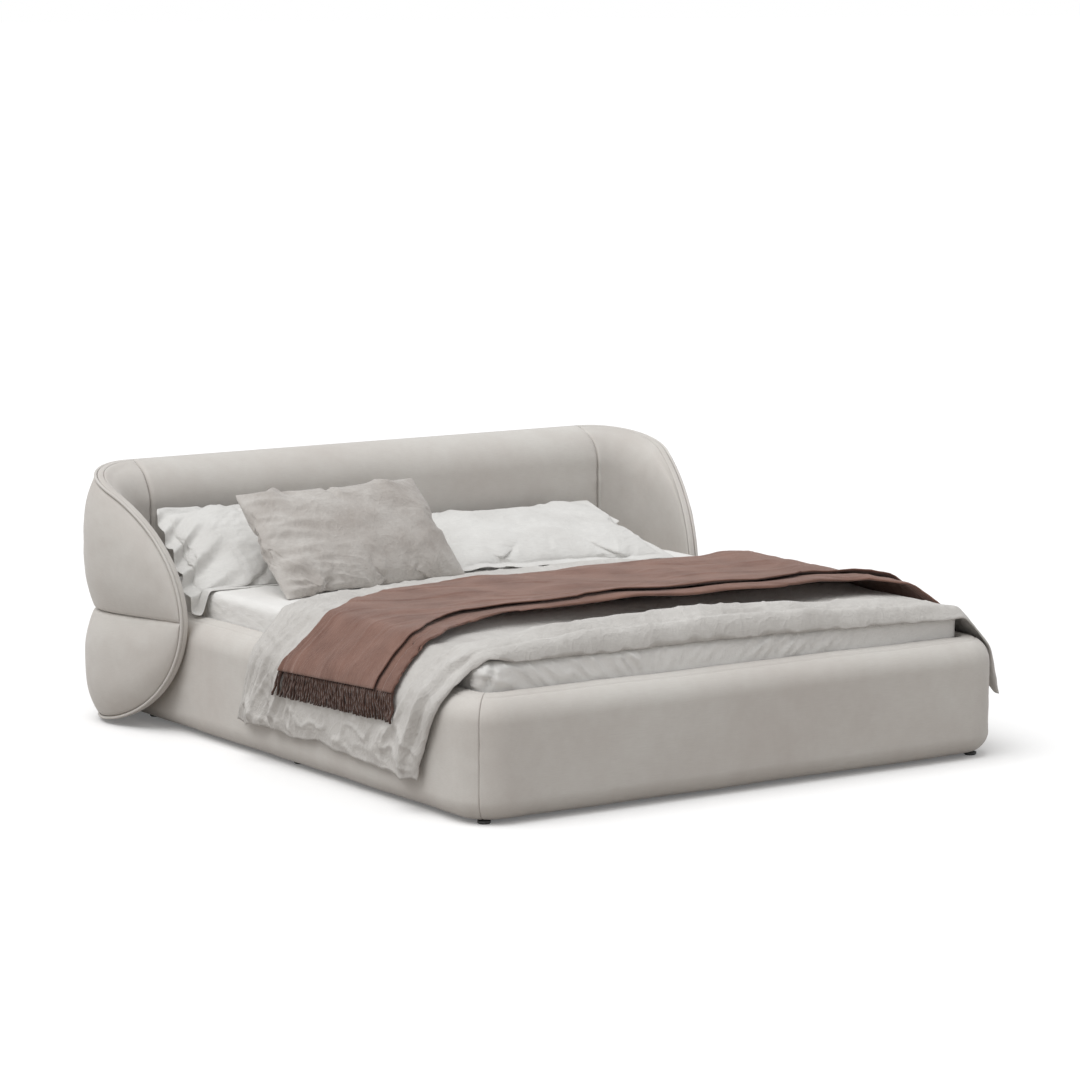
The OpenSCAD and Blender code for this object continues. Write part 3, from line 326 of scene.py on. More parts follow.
UPHOLSTERY = cloth("upholstery_cloth", (0.67, 0.65, 0.615), (0.595, 0.56, 0.525), 0.62, 0.2,
    900, 0.3, 0.32, 0.10)
PIPING = cloth("piping_cloth", (0.68, 0.655, 0.62), (0.60, 0.57, 0.54), 0.6, 0.2, 900, 0.3, 0.1,
    0.10)
SHEET = cloth("sheet_cotton", (0.84, 0.83, 0.81), (0.79, 0.78, 0.76), 0.8, 0.1, 1100, 0.2, 0.3,
    0.06, 1.2, 0.11)
DUVET = cloth("duvet_linen", (0.67, 0.653, 0.627), (0.55, 0.53, 0.505), 0.85, 0.2, 700, 0.8, 0.18,
    0.2, 3.0, 0.065)
PILLOW = cloth("pillow_linen", (0.76, 0.755, 0.735), (0.67, 0.66, 0.64), 0.85, 0.2, 700, 0.8, 0.14,
    0.2, 2.0, 0.06)
CUSHION = cloth("cushion_cloth", (0.59, 0.565, 0.535), (0.44, 0.405, 0.375), 0.8, 0.4, 800, 0.6,
    0.12, 0.2, 2.4, 0.045)
THROW = cloth("throw_wool", (0.262, 0.147, 0.114), (0.155, 0.083, 0.064), 0.9, 0.45, 380, 0.9,
    0.12, 0.5, 1.2, 0.06, (1.0, 2.4, 1.0), sheen_tint=(0.9, 0.75, 0.7))
FRINGE = cloth("fringe_wool", (0.135, 0.077, 0.059), (0.06, 0.033, 0.026), 0.9, 0.3, 500, 0.8, 0.02,
    0.3)
TICKING = cloth("mattress_ticking", (0.84, 0.84, 0.82), (0.78, 0.78, 0.77), 0.8, 0.1, 600, 0.3,
    0.2, 0.2)
PLYWOOD = timber("raw_plywood", (0.72, 0.56, 0.37), (0.58, 0.42, 0.26), (1.0, 0.15, 3.0), 0.7)
PINE = timber("planed_pine", (0.78, 0.62, 0.41), (0.66, 0.46, 0.27), (0.15, 1.0, 1.0), 0.6)
BEECH = timber("lacquered_beech", (0.78, 0.60, 0.42), (0.68, 0.49, 0.32), (0.12, 1.6, 1.6), 0.35)
ZINC = hard("zinc_plate", (0.58, 0.59, 0.61), (0.45, 0.46, 0.47), 1.0, 0.3, 0.55)
POWDER = hard("powder_coat", (0.055, 0.055, 0.06), (0.09, 0.09, 0.09), 0.0, 0.35, 0.6)
PLASTIC = hard("black_plastic", (0.02, 0.02, 0.02), (0.045, 0.045, 0.045), 0.0, 0.4, 0.65)
FINISHES = {
    "upholstery": UPHOLSTERY, "piping_cloth": PIPING, "plywood": PLYWOOD, "pine": PINE,
    "beech": BEECH, "zinc_steel": ZINC, "dark_steel": POWDER, "black_plastic": PLASTIC,
    "ticking": TICKING, "sheet_cotton": SHEET, "duvet_linen": DUVET, "throw_wool": THROW,
    "fringe_wool": FRINGE, "pillow_linen": PILLOW, "cushion_velvet": CUSHION,
}

for part in frame["record"]["subparts"]:
    mesh = frame["nodes"][part["node"]].data
    mesh.materials.clear()
    mesh.materials.append(FINISHES[part["material_slot"]])


def studio():
    """A pale floor that keeps the shadow, an even sky and one wide lamp above the left side."""
    tidy_selection()
    bpy.ops.mesh.primitive_plane_add(size=400, location=(0, 0, 0))
    floor = bpy.context.object
    floor.name = "studio_floor"
    m, t, shader, where = blank("studio_floor")
    seen = camera_seen(t)
    grain = use(t, MOTTLE, Vector=where.outputs["Object"], Size=3.0, Light=(0.93, 0.93, 0.93, 1),
        Dark=(0.91, 0.91, 0.91, 1))
    fill(t, shader, {"Base Color": blend_colour(t, seen, (0.42, 0.392, 0.368, 1),
        grain.outputs["Colour"]), "Roughness": 0.9, "Specular IOR Level": 0.0,
        "Emission Color": (1, 1, 1, 1), "Emission Strength": times(t, seen, 0.12)})
    floor.data.materials.append(m)
    world = bpy.data.worlds.new("studio_sky")
    bpy.context.scene.world = world
    world.use_nodes = True
    t = world.node_tree
    fill(t, t.nodes["Background"], {"Color": (1, 1, 1, 1),
        "Strength": plus(t, times(t, camera_seen(t), 0.45), 0.55)})
    tidy_selection()
    bpy.ops.object.light_add(type="SUN", rotation=(math.radians(1), math.radians(-25), 0))
    lamp = bpy.context.object
    lamp.name = "wide_lamp"
    lamp.data.energy = 1.75
    lamp.data.angle = math.radians(55)


studio()
bpy.context.scene.view_settings.view_transform = "Standard"


# Mesh helpers
def read(o):
    co = np.empty(len(o.data.vertices) * 3)
    o.data.vertices.foreach_get("co", co)
    return co.reshape(-1, 3)


def write(o, co):
    o.data.vertices.foreach_set("co", np.ascontiguousarray(co, float).ravel())
    o.data.update()


def points(x, y, z):
    return np.stack(np.broadcast_arrays(x, y, z), axis=-1).astype(float)


def ramp(x, a, b):
    """0 up to a, 1 from b on, and smooth between them."""
    t = np.clip((x - a) / (b - a), 0, 1)
    return t * t * (3 - 2 * t)


def fall(x, a, b):
    return 1 - ramp(x, a, b)


def bell(x, width):
    """1 at 0, dying out on both sides."""
    return np.exp(-(x / width) ** 2)


def fade(x, length):
    return np.exp(-x / length)


def mix(a, b, t):
    return a + (b - a) * t


def waves(p, size, seed, count=16):
    """A smooth uneven field of about -1 to 1, with bumps of about this size."""
    rng = np.random.default_rng(seed)
    total = np.zeros(len(p))
    for _ in range(count):
        d = rng.normal(size=p.shape[1])
        d *= 2 * math.pi / size * rng.uniform(0.55, 1.5) / np.linalg.norm(d)
        total += np.cos(p @ d + rng.uniform(0, 2 * math.pi))
    return total / math.sqrt(count * 1.4)


def ridges(p, size, seed, sharp):
    """Thin raised lines where an uneven field crosses zero."""
    return bell(waves(p, size, seed), sharp)


def edit_all(o, steps):
    """Takes the steps in edit mode, with the whole mesh selected."""
    pick(o)
    bpy.ops.object.mode_set(mode="EDIT")
    bpy.ops.mesh.select_all(action="SELECT")
    steps()
    bpy.ops.object.mode_set(mode="OBJECT")


def even_normals():
    bpy.ops.mesh.normals_make_consistent(inside=False)


def finish_mesh(o, finish):
    """Merges doubled points, turns the faces outwards and gives the piece its finish."""
    def steps():
        bpy.ops.mesh.remove_doubles(threshold=MERGE / 2)
        even_normals()

    edit_all(o, steps)
    bpy.ops.object.shade_smooth()
    o.data.materials.clear()
    o.data.materials.append(finish)
    return o


def joined(name, pieces):
    pick(*pieces)
    bpy.ops.object.join()
    o = bpy.context.object
    o.name = o.data.name = name
    return o


def grid(name, across, along):
    """A flat grid from -1 to 1 both ways."""
    tidy_selection()
    bpy.ops.mesh.primitive_grid_add(x_subdivisions=across, y_subdivisions=along, size=2)
    o = bpy.context.object
    o.name = o.data.name = name
    return o


def shares(co):
    """How far across and along the grid its points lie, from 0 to 1."""
    return (co[:, 0] + 1) / 2, (co[:, 1] + 1) / 2


def map_in_metres(o, size_m):
    """Scales the grid's map from 0 to 1 to the flat cloth's size."""
    uv = o.data.uv_layers.active.data
    flat = np.empty(len(uv) * 2)
    uv.foreach_get("uv", flat)
    uv.foreach_set("uv", (flat.reshape(-1, 2) * size_m).ravel())


def stand_in(body, fill, *pairs):
    """Each piece rides on the body in place of a CAD node. The fill argument is not used."""
    for piece, node in pairs:
        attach(piece, body)
        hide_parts(node)


def two_sided(name, across, along, place_at, size_m):
    """A soft closed form. One panel of cloth is laid out flat, given a back panel and a rim,
    and place_at(u, v, shown) moves the shown panel and the other one to their places."""
    o = grid(name, across, along)
    wall = o.modifiers.new("wall", "SOLIDIFY")
    wall.thickness, wall.offset = 0.1, -1
    bpy.ops.object.modifier_apply(modifier="wall")
    co = read(o)
    n = len(co) // 2
    u, v = shares(co[:n])
    map_in_metres(o, size_m)
    co[:n], co[n:] = place_at(u, v, True), place_at(u, v, False)
    write(o, co)
    return o


def mirror_copy(o, name):
    """The same piece for the other side, with its own mesh."""
    pick(o)
    bpy.ops.object.duplicate()
    other = bpy.context.object
    other.name = other.data.name = name
    write(other, read(other) * (-1, 1, 1))
    edit_all(other, even_normals)
    return other


def cord_mesh(name, path, radius, sides=6):
    """A round cord along a line of points, with closed ends."""
    tidy_selection()
    bpy.ops.curve.primitive_nurbs_path_add()
    o = bpy.context.object
    o.name = name
    o.data.splines.clear()
    s = o.data.splines.new("POLY")
    s.points.add(len(path) - 1)
    s.points.foreach_set("co", np.c_[path, np.ones(len(path))].ravel())
    o.data.bevel_depth, o.data.bevel_resolution = radius, sides
    o.data.use_fill_caps = True
    bpy.ops.object.convert(target="MESH")
    o = bpy.context.object
    o.data.name = name
    o.matrix_world.identity()
    return o


def end_round(d, r):
    """0 at an edge, 1 from r inwards, in a quarter circle."""
    return np.sqrt(np.clip(1 - (1 - np.clip(d / r, 0, 1)) ** 2, 0, 1))


def lengths(line):
    """How far along a line of points each of them lies."""
    return np.r_[0, np.cumsum(np.hypot(*np.diff(line, axis=0).T))]


def walk(line, at):
    """Both coordinates of the places that lie this far along a line of points."""
    far = lengths(line)
    return np.interp(at, far, line[:, 0]), np.interp(at, far, line[:, 1])


# Headboard, seen from above
def plan(s, off):
    """x and y at arc length s from the right nose, off metres outwards of the board's middle."""
    a = (s - WING_L) / WRAP_R - TOE_IN
    tx, ty = WRAP_X + WRAP_R * math.cos(TOE_IN), WRAP_Y - WRAP_R * math.sin(TOE_IN)
    left = WING_L - s
    x = np.where(s < WING_L, tx - math.sin(TOE_IN) * left + math.cos(TOE_IN) * off,
        WRAP_X + (WRAP_R + off) * np.cos(a))
    y = np.where(s < WING_L, ty - math.cos(TOE_IN) * left - math.sin(TOE_IN) * off,
        WRAP_Y + (WRAP_R + off) * np.sin(a))
    return x, y


def rise(s, reach, height, power, inset):
    share = np.clip((s - inset) / (reach - inset), 0, 1)
    return (height - inset) * (1 - (1 - share) ** power) ** (1 / power)


def rim_top(s, inset):
    return SEAM_Z + rise(s, RIM_UP, HEAD_H - SEAM_Z, UP_POWER, inset)


def rim_low(s, inset):
    return SEAM_Z - rise(s, RIM_DOWN, SEAM_Z - HEAD_GAP, DOWN_POWER, inset)


def rim_line(inset, count):
    """Arc length and height along a wing's whole rim, evenly spaced, from the lower back."""
    a = np.linspace(0, math.pi / 2, 90)
    down = (RIM_DOWN - (RIM_DOWN - inset) * np.cos(a) ** (2 / DOWN_POWER),
        SEAM_Z - (SEAM_Z - HEAD_GAP - inset) * np.sin(a) ** (2 / DOWN_POWER))
    up = (RIM_UP - (RIM_UP - inset) * np.cos(a) ** (2 / UP_POWER),
        SEAM_Z + (HEAD_H - SEAM_Z - inset) * np.sin(a) ** (2 / UP_POWER))
    line = np.c_[np.r_[WRAP_L, down[0][::-1], up[0][1:], WRAP_L],
        np.r_[HEAD_GAP + inset, down[1][::-1], up[1][1:], HEAD_H - inset]]
    return walk(line, np.linspace(0, lengths(line)[-1], count))


def bulge(v):
    return 1 - np.abs(2 * v - 1) ** 2.6


def cover_depth(full, v):
    edge = mix(COVER_SEAM * np.maximum(full, COVER_RIM / COVER_SEAM), COVER_RIM, v)
    return edge + (COVER_T - mix(COVER_SEAM, COVER_RIM, v)) * bulge(v) * full


def soft(p, seed, depth=0.0015):
    """Slight unevenness of foam under cloth."""
    return depth * waves(p, 0.32, seed) + 0.3 * depth * waves(p, 0.09, seed + 1)


def pinched(along, z, seam, edge, seed):
    """How a cover thins out at its seam and edges, and the small gathers along the seam."""
    pinch = (0.25 + 0.75 * end_round(seam, 0.014)) * (0.35 + 0.65 * end_round(edge, 0.01))
    rows = points(along, 0, z * 0.4)
    return pinch, 0.0012 * fade(seam, 0.022) * waves(rows, 0.035, seed + 5)


def wing_cover(name, rim, up, seed):
    """An outer cover of the right wing, pinched at the seam, full in its middle."""
    inset = EDGE_T + COVER_INSET
    first = inset + COVER_LEAST
    nose_reach = 0.29

    def place_at(u, v, out):
        s = first + (WRAP_L - FIT - first) * u ** 1.5
        z0 = SEAM_Z + up * FIT
        z = mix(z0, rim(s, inset), v)
        full = 1 - (1 - np.minimum(1, s / nose_reach)) ** 2.2
        x, y = plan(s, 0)
        p = points(x, y, z)
        seam, edge = np.abs(z - z0), np.minimum(np.abs(rim(s, inset) - z), WRAP_L - s)
        pinch, gather = pinched(s, z, seam, edge, seed)
        depth = cover_depth(full, v) * pinch + (soft(p, seed) + gather) * ramp(s, 0.02, 0.1)
        off = PANEL_T / 2 + FIT + (np.maximum(depth, COVER_LEAST) if out else 0)
        x, y = plan(s, off)
        return points(x, y, z)

    return two_sided(name, 150, 76, place_at, (WRAP_L, 0.46))


def back_cover(name, rim, seed):
    """An outer cover of the back, between the wings' covers."""
    up = 1 if rim > SEAM_Z else -1
    half = WRAP_X - FIT

    def place_at(u, v, out):
        x = mix(-half, half, u)
        z0 = SEAM_Z + up * FIT
        z = mix(z0, rim, v)
        seam, edge = np.abs(z - z0), np.minimum(np.abs(rim - z), half - np.abs(x))
        pinch, gather = pinched(x, z, seam, edge, seed)
        p = points(x, 0, z)
        depth = cover_depth(1.0, v) * pinch + soft(p, seed) + gather
        return points(x, PANEL_BACK + FIT + (np.maximum(depth, COVER_LEAST) if out else 0), z)

    return two_sided(name, 200, 60, place_at, (2 * half, 0.45))


def pad_hollow(z, top, roll, depth, lip):
    t = np.clip((z - top + roll) / roll, 0, 1)
    return lip + (depth - lip) * np.sqrt(np.clip(1 - t * t, 0, 1))


def inner_pad(name, seed):
    """The right wing's inner pad: deep at the corner, thin at the nose, rolled at its top."""
    inset = EDGE_T + FIT
    low = RAIL_TOP + PAD_ABOVE_RAIL
    first = inset + PAD_NOSE

    def place_at(u, v, front):
        s = first + (WRAP_L - FIT - inset - PAD_NOSE) * u ** 1.3
        top = rim_top(s, inset)
        z = low + (top - low) * (1 - (1 - v) ** 1.7)
        roll = np.minimum(PAD_ROLL, 0.9 * (top - low))
        depth = mix(EDGE_LIP + 0.005, PAD_T + BATTEN_D, ramp(s, inset, WRAP_L))
        x, y = plan(s, 0)
        p = points(x, y, z)
        pinch = 0.75 + 0.25 * end_round(WRAP_L - s, 0.02)
        deep = pad_hollow(z, top, roll, depth, EDGE_LIP) * pinch
        deep = deep + (soft(p, seed) + 0.0015 * fade(WRAP_L - s, 0.03)
            * waves(points(z, 0, 0), 0.05, seed + 3)) * ramp(deep, 0.004, 0.03)
        lip = ramp(v, 0.88, 1.0)
        deep = np.maximum(deep, (EDGE_LIP + FIT + 0.0006) * lip)
        off = -PANEL_T / 2 - FIT - (deep if front else (EDGE_LIP + FIT) * lip)
        z = z + (0.0085 * lip * lip if front else 0)
        x, y = plan(s, off)
        return points(x, y, z)

    return two_sided(name, 120, 90, place_at, (WRAP_L, 0.6))


def centre_pad(name, seed):
    """The pad in front of the panel, rolled over its top edge."""
    half = WRAP_X - FIT
    low = BOARD_TOP + FIT
    a = np.linspace(0, math.pi / 2, 30)
    depth = PAD_T + BATTEN_D + PANEL_T
    front = np.r_[[[PAD_FRONT, low], [PAD_FRONT, HEAD_H - PAD_ROLL]],
        np.c_[PANEL_BACK - depth * np.cos(a), HEAD_H - PAD_ROLL + PAD_ROLL * np.sin(a)][1:]]
    batten_top = HEAD_H - BATTEN_DOWN + BATTEN_H + FIT
    board_top = HEAD_H - EDGE_T + FIT
    back = np.array([[BATTEN_FRONT - FIT, low], [BATTEN_FRONT - FIT, batten_top],
        [PANEL_FRONT - FIT, batten_top], [PANEL_FRONT - FIT, board_top], [PANEL_BACK, board_top]])

    def place_at(u, v, shown):
        x = mix(-half, half, u)
        line = front if shown else back
        y, z = walk(line, v * lengths(line)[-1])
        if shown:
            end = half - np.abs(x)
            p = points(x, y, z)
            sink = 0.010 * (1 - end_round(end, 0.014)) + soft(p, seed) + 0.0015 * np.exp(
                -end / 0.03) * waves(points(z, y, 0), 0.05, seed + 3)
            lift = ramp(PANEL_BACK - y, 0.0, 0.03)
            nose = np.clip((z - HEAD_H + PAD_ROLL) / PAD_ROLL, 0, 1)
            y = y + sink * lift * (1 - 0.5 * nose)
            z = z - 0.6 * sink * lift * nose
        return points(x, y, z)

    return two_sided(name, 190, 70, place_at, (2 * half, 0.6))


RIM_STATIONS = 260


def edge_roll(name):
    """The smooth band of a wing's rim, over the edge of its board."""
    half, deep = PANEL_T / 2, EDGE_T - 0.002

    def place_at(u, v, out):
        off = mix(-EDGE_REACH, half, v)
        d = np.minimum(off + EDGE_REACH, half - off)
        inset = np.where(out, 0.004 * (1 - end_round(d, 0.006)), deep)
        lines = [rim_line(i, RIM_STATIONS) for i in (0.0, deep)]
        k = u * (RIM_STATIONS - 1)
        s, z = ([np.interp(k, np.arange(RIM_STATIONS), line[way]) for line in lines]
            for way in (0, 1))
        t = inset / deep
        x, y = plan(mix(s[0], s[1], t), off)
        return points(x, y, mix(z[0], z[1], t))

    return two_sided(name, RIM_STATIONS, 12, place_at, (2.3, 0.03))


HEADBOARD_PAIRS = [
    ("wing_cover_upper", lambda n: wing_cover(n, rim_top, 1, 11)),
    ("wing_cover_lower", lambda n: wing_cover(n, rim_low, -1, 21)),
    ("inner_pad", lambda n: inner_pad(n, 31)),
    ("edge_roll", edge_roll),
]
for part, make in HEADBOARD_PAIRS:
    right = finish_mesh(make("skin_" + part + "_right"), UPHOLSTERY)
    left = mirror_copy(right, "skin_" + part + "_left")
    stand_in("bed_frame", 0.9, (right, part + "_right"), (left, part + "_left"))

for part, piece in (
        ("back_cover_upper", back_cover("skin_back_cover_upper", HEAD_H - EDGE_T - COVER_INSET, 41)),
        ("back_cover_lower", back_cover("skin_back_cover_lower", HEAD_GAP + EDGE_T + COVER_INSET, 45)),
        ("centre_pad", centre_pad("skin_centre_pad", 51))):
    finish_mesh(piece, UPHOLSTERY)
    stand_in("bed_frame", 0.9, (piece, part))

PIPING_OFF, PIPING_SHORT = PANEL_T / 2 + PIPING_R + PIPING_GAP, 0.0006


def wing_piping(name):
    s, z = rim_line(PIPING_R, 240)
    x, y = plan(s, PIPING_OFF)
    return cord_mesh(name, points(x, y, z), PIPING_R)


piping_right = finish_mesh(wing_piping("piping_cord_right"), PIPING)
piping_left = mirror_copy(piping_right, "piping_cord_left")
back_line = np.linspace(-WRAP_X + PIPING_SHORT, WRAP_X - PIPING_SHORT, 60)
piping_back = joined("piping_cord_back", [cord_mesh("piping_cord_back_" + word,
    points(back_line, PANEL_BACK + PIPING_GAP + PIPING_R, z), PIPING_R) for word, z in
    (("low", HEAD_GAP + PIPING_R), ("top", HEAD_H - PIPING_R))])
finish_mesh(piping_back, PIPING)
stand_in("bed_frame", None, (piping_right, "piping_right"), (piping_left, "piping_left"),
    (piping_back, "piping_back"))


# Base covers
def rail_outline():
    """The section of a rail's cover round its board: out from the inner face, and up."""
    small = 0.006
    a = np.linspace(0, math.pi / 2, 22)
    b = np.linspace(0, math.pi / 2, 6)
    rows = [[0.0, BOARD_Z - FIT], [0.0, FLOOR_GAP], [RAIL_T - BOTTOM_ROLL, FLOOR_GAP]]
    rows += [[RAIL_T - BOTTOM_ROLL + BOTTOM_ROLL * math.sin(t),
        FLOOR_GAP + BOTTOM_ROLL - BOTTOM_ROLL * math.cos(t)] for t in a]
    rows += [[RAIL_T - TOP_ROLL + TOP_ROLL * math.cos(t),
        RAIL_TOP - TOP_ROLL + TOP_ROLL * math.sin(t)] for t in a]
    rows += [[small - small * math.sin(t), RAIL_TOP - small + small * math.cos(t)] for t in b]
    rows += [[0.0, BOARD_TOP + FIT], [BOARD_T + FIT, BOARD_TOP + FIT],
        [BOARD_T + FIT, BOARD_Z - FIT], [0.0, BOARD_Z - FIT]]
    return np.array(rows)


OUTLINE = rail_outline()
OUTLINE_L = lengths(OUTLINE)[-1]
TOP_SEAM_X, TOP_SEAM_W = 0.045, 0.003
low_points = OUTLINE[:, 1] < RAIL_TOP / 2
TOP_SEAM_FAR = lengths(OUTLINE)[np.argmin(np.abs(OUTLINE[:, 0] - TOP_SEAM_X) + low_points)]
CORNER_LINE, CORNER_TURN = CORNER_R - 0.03, math.pi / 4 - 0.0026


def close_ends():
    """Merges the seam along the cover and closes its two open ends."""
    bpy.ops.mesh.remove_doubles(threshold=MERGE)
    bpy.ops.mesh.select_mode(type="EDGE")
    bpy.ops.mesh.select_all(action="DESELECT")
    bpy.ops.mesh.select_non_manifold(extend=False, use_wire=False, use_boundary=True,
        use_multi_face=False, use_non_contiguous=False, use_verts=False)
    bpy.ops.mesh.fill(use_beauty=False)


def rail_cover(name, length, cells, at, seed):
    """A cover swept along a rail. at(t, out) gives x and y at share t of its length."""
    o = grid(name, cells, 150)
    t, w = shares(read(o))
    t = t - 0.85 * np.sin(2 * math.pi * t) / (2 * math.pi)
    past = w * OUTLINE_L - TOP_SEAM_FAR
    pos = TOP_SEAM_FAR + past * (1 - 0.75 * bell(past, 0.02))
    out, up = walk(OUTLINE, pos)
    ahead, behind = (walk(OUTLINE, (pos + step) % OUTLINE_L) for step in (0.002, -0.002))
    d_out, d_up = ahead[0] - behind[0], ahead[1] - behind[1]
    size = np.maximum(np.hypot(d_out, d_up), 1e-9)
    n_out, n_up = d_up / size, -d_out / size
    end = np.minimum(t, 1 - t) * length
    shown = ramp(out, 0.0, 0.004) * (1 - (np.abs(out - BOARD_T) < 0.002) * (up < BOARD_TOP + 0.001)
        * (up > BOARD_Z - 0.001))
    x, y = at(t, out)
    push = soft(points(x, y, up), seed, 0.0011) * shown
    push = push - 0.0028 * (1 - end_round(end, 0.0035)) * shown
    push = push + 0.0006 * fade(end, 0.03) * waves(points(pos, 0, 0), 0.04, seed + 2) * shown
    push = push - 0.0026 * bell(pos - TOP_SEAM_FAR, TOP_SEAM_W)
    x, y = at(t, out + n_out * push)
    write(o, points(x, y, up + n_up * push))
    map_in_metres(o, (length, OUTLINE_L))
    edit_all(o, close_ends)
    return o


def corner_arc(far, start):
    """How far round the foot corner: far metres past the straight, from angle start."""
    return start + np.clip(far / CORNER_LINE, 0, math.pi / 4)


def side_rail_at(t, out):
    """Along the right rail from the head end to the middle of the foot corner."""
    straight = BATTEN_FRONT - CORNER_Y
    far = t * (straight + CORNER_LINE * CORNER_TURN)
    a = corner_arc(far - straight, 0)
    reach = CORNER_R - RAIL_T + out
    x = np.where(far < straight, INNER_X + out, CORNER_X + reach * np.cos(a))
    y = np.where(far < straight, BATTEN_FRONT - far, CORNER_Y - reach * np.sin(a))
    return x, y


def foot_rail_at(t, out):
    """Along the foot from the middle of one corner to the middle of the other."""
    half = CORNER_X + CORNER_LINE * CORNER_TURN
    far = (2 * t - 1) * half
    a = corner_arc(np.abs(far) - CORNER_X, 0)
    reach = CORNER_R - RAIL_T + out
    x = np.where(np.abs(far) < CORNER_X, np.abs(far), CORNER_X + reach * np.sin(a))
    y = np.where(np.abs(far) < CORNER_X, WELL_FOOT - out, CORNER_Y - reach * np.cos(a))
    return np.sign(far) * x, y


side_length = BATTEN_FRONT - CORNER_Y + CORNER_LINE * math.pi / 4
foot_length = 2 * CORNER_X + 0.16
rail_right = finish_mesh(rail_cover("skin_side_rail_right", side_length, 190, side_rail_at, 61),
    UPHOLSTERY)
rail_left = mirror_copy(rail_right, "skin_side_rail_left")
rail_foot = finish_mesh(rail_cover("skin_foot_rail", foot_length, 230, foot_rail_at, 65),
    UPHOLSTERY)
stand_in("bed_frame", 1.0, (rail_right, "side_cover_right"), (rail_left, "side_cover_left"),
    (rail_foot, "foot_cover"))


# Mattress and fitted sheet
def loop_point(t, inset):
    """A point of the mattress's outline at share t round it, inset inwards."""
    r = MATTRESS_R
    w, l = MATTRESS_W / 2 - r, MATTRESS_L / 2 - r
    arc = r * math.pi / 2
    parts = np.cumsum([0, 2 * w, arc, 2 * l, arc, 2 * w, arc, 2 * l, arc])
    far = (t * parts[-1] + w) % parts[-1]
    k = np.clip(np.searchsorted(parts, far, side="right") - 1, 0, 7)
    d = far - parts[k]
    side = k // 2
    a = -math.pi / 2 + side * math.pi / 2 + np.where(k % 2 == 1, d / r, 0)
    cx = np.choose(side, [w, w, -w, -w])
    cy = np.choose(side, [-l, l, l, -l])
    back = np.where(k % 2 == 0, np.where(side % 2 == 0, 2 * w, 2 * l) - d, 0)
    dx, dy = np.choose(side, [1, 0, -1, 0]), np.choose(side, [0, 1, 0, -1])
    reach = np.maximum(r - inset, 0)
    deep = inset > r
    x = cx - dx * back + np.cos(a) * reach
    y = cy - dy * back + np.sin(a) * reach
    shrink_x = np.where(deep, 1 - (inset - r) / (MATTRESS_W / 2 - r), 1.0)
    shrink_y = np.where(deep, 1 - (inset - r) / (MATTRESS_L / 2 - r), 1.0)
    return x * shrink_x, y * shrink_y


def clean_layer():
    bpy.ops.mesh.remove_doubles(threshold=MERGE)
    bpy.ops.mesh.dissolve_degenerate(threshold=MERGE)
    even_normals()


def lofted(name, across, along, place_at, size_m, wall=0.0):
    """One layer laid out as a grid and moved to its place; edges that meet are merged."""
    o = grid(name, across, along)
    write(o, place_at(*shares(read(o))))
    map_in_metres(o, size_m)
    edit_all(o, clean_layer)
    if wall:
        layer = o.modifiers.new("wall", "SOLIDIFY")
        layer.thickness, layer.offset = wall, -1
        bpy.ops.object.modifier_apply(modifier="wall")
    return o


def block_place(shrink, z_low, z_high, hem, crumple):
    """The mattress's outline lofted over its top, its rolled edges and its sides."""
    edge = MATTRESS_EDGE
    middle_y = (MATTRESS_FOOT + MATTRESS_HEAD) / 2
    tall = z_high - z_low
    line = [[MATTRESS_W / 2, tall], [0.3, tall], [0.12, tall], [edge, tall]]
    line += [[edge - edge * math.sin(a), tall - edge + edge * math.cos(a)]
        for a in np.linspace(0, math.pi / 2, 8)[1:]]
    line += [[edge - edge * math.cos(a), edge - edge * math.sin(a)]
        for a in np.linspace(0, math.pi / 2, 8)]
    line += [[min(hem, 0.12), 0], [hem, 0]]
    line = np.array(line)
    far = lengths(line)
    flat_share = 0.35

    def place_at(u, v):
        inset, z = walk(line, np.where(v < flat_share, v / flat_share * far[3],
            far[3] + (v - flat_share) / (1 - flat_share) * (far[-1] - far[3])))
        u = u - 0.5 * np.sin(2 * math.pi * u) / (2 * math.pi)
        x, y = loop_point(u, np.minimum(inset + shrink, MATTRESS_W / 2))
        side = fall(np.minimum(inset, edge), 0, edge)
        ox, oy = loop_point(u, np.minimum(inset, 0.04))
        ix, iy = loop_point(u, np.minimum(inset, 0.04) + 0.01)
        nx, ny = (ox - ix) / 0.01, (oy - iy) / 0.01
        push = crumple(points(x, y + middle_y, z + z_low), side)
        lift = np.where(z > tall / 2, 1, -1) * (1 - side)
        return points(x + nx * side * push, y + ny * side * push + middle_y,
            z_low + z + lift * push)

    return place_at


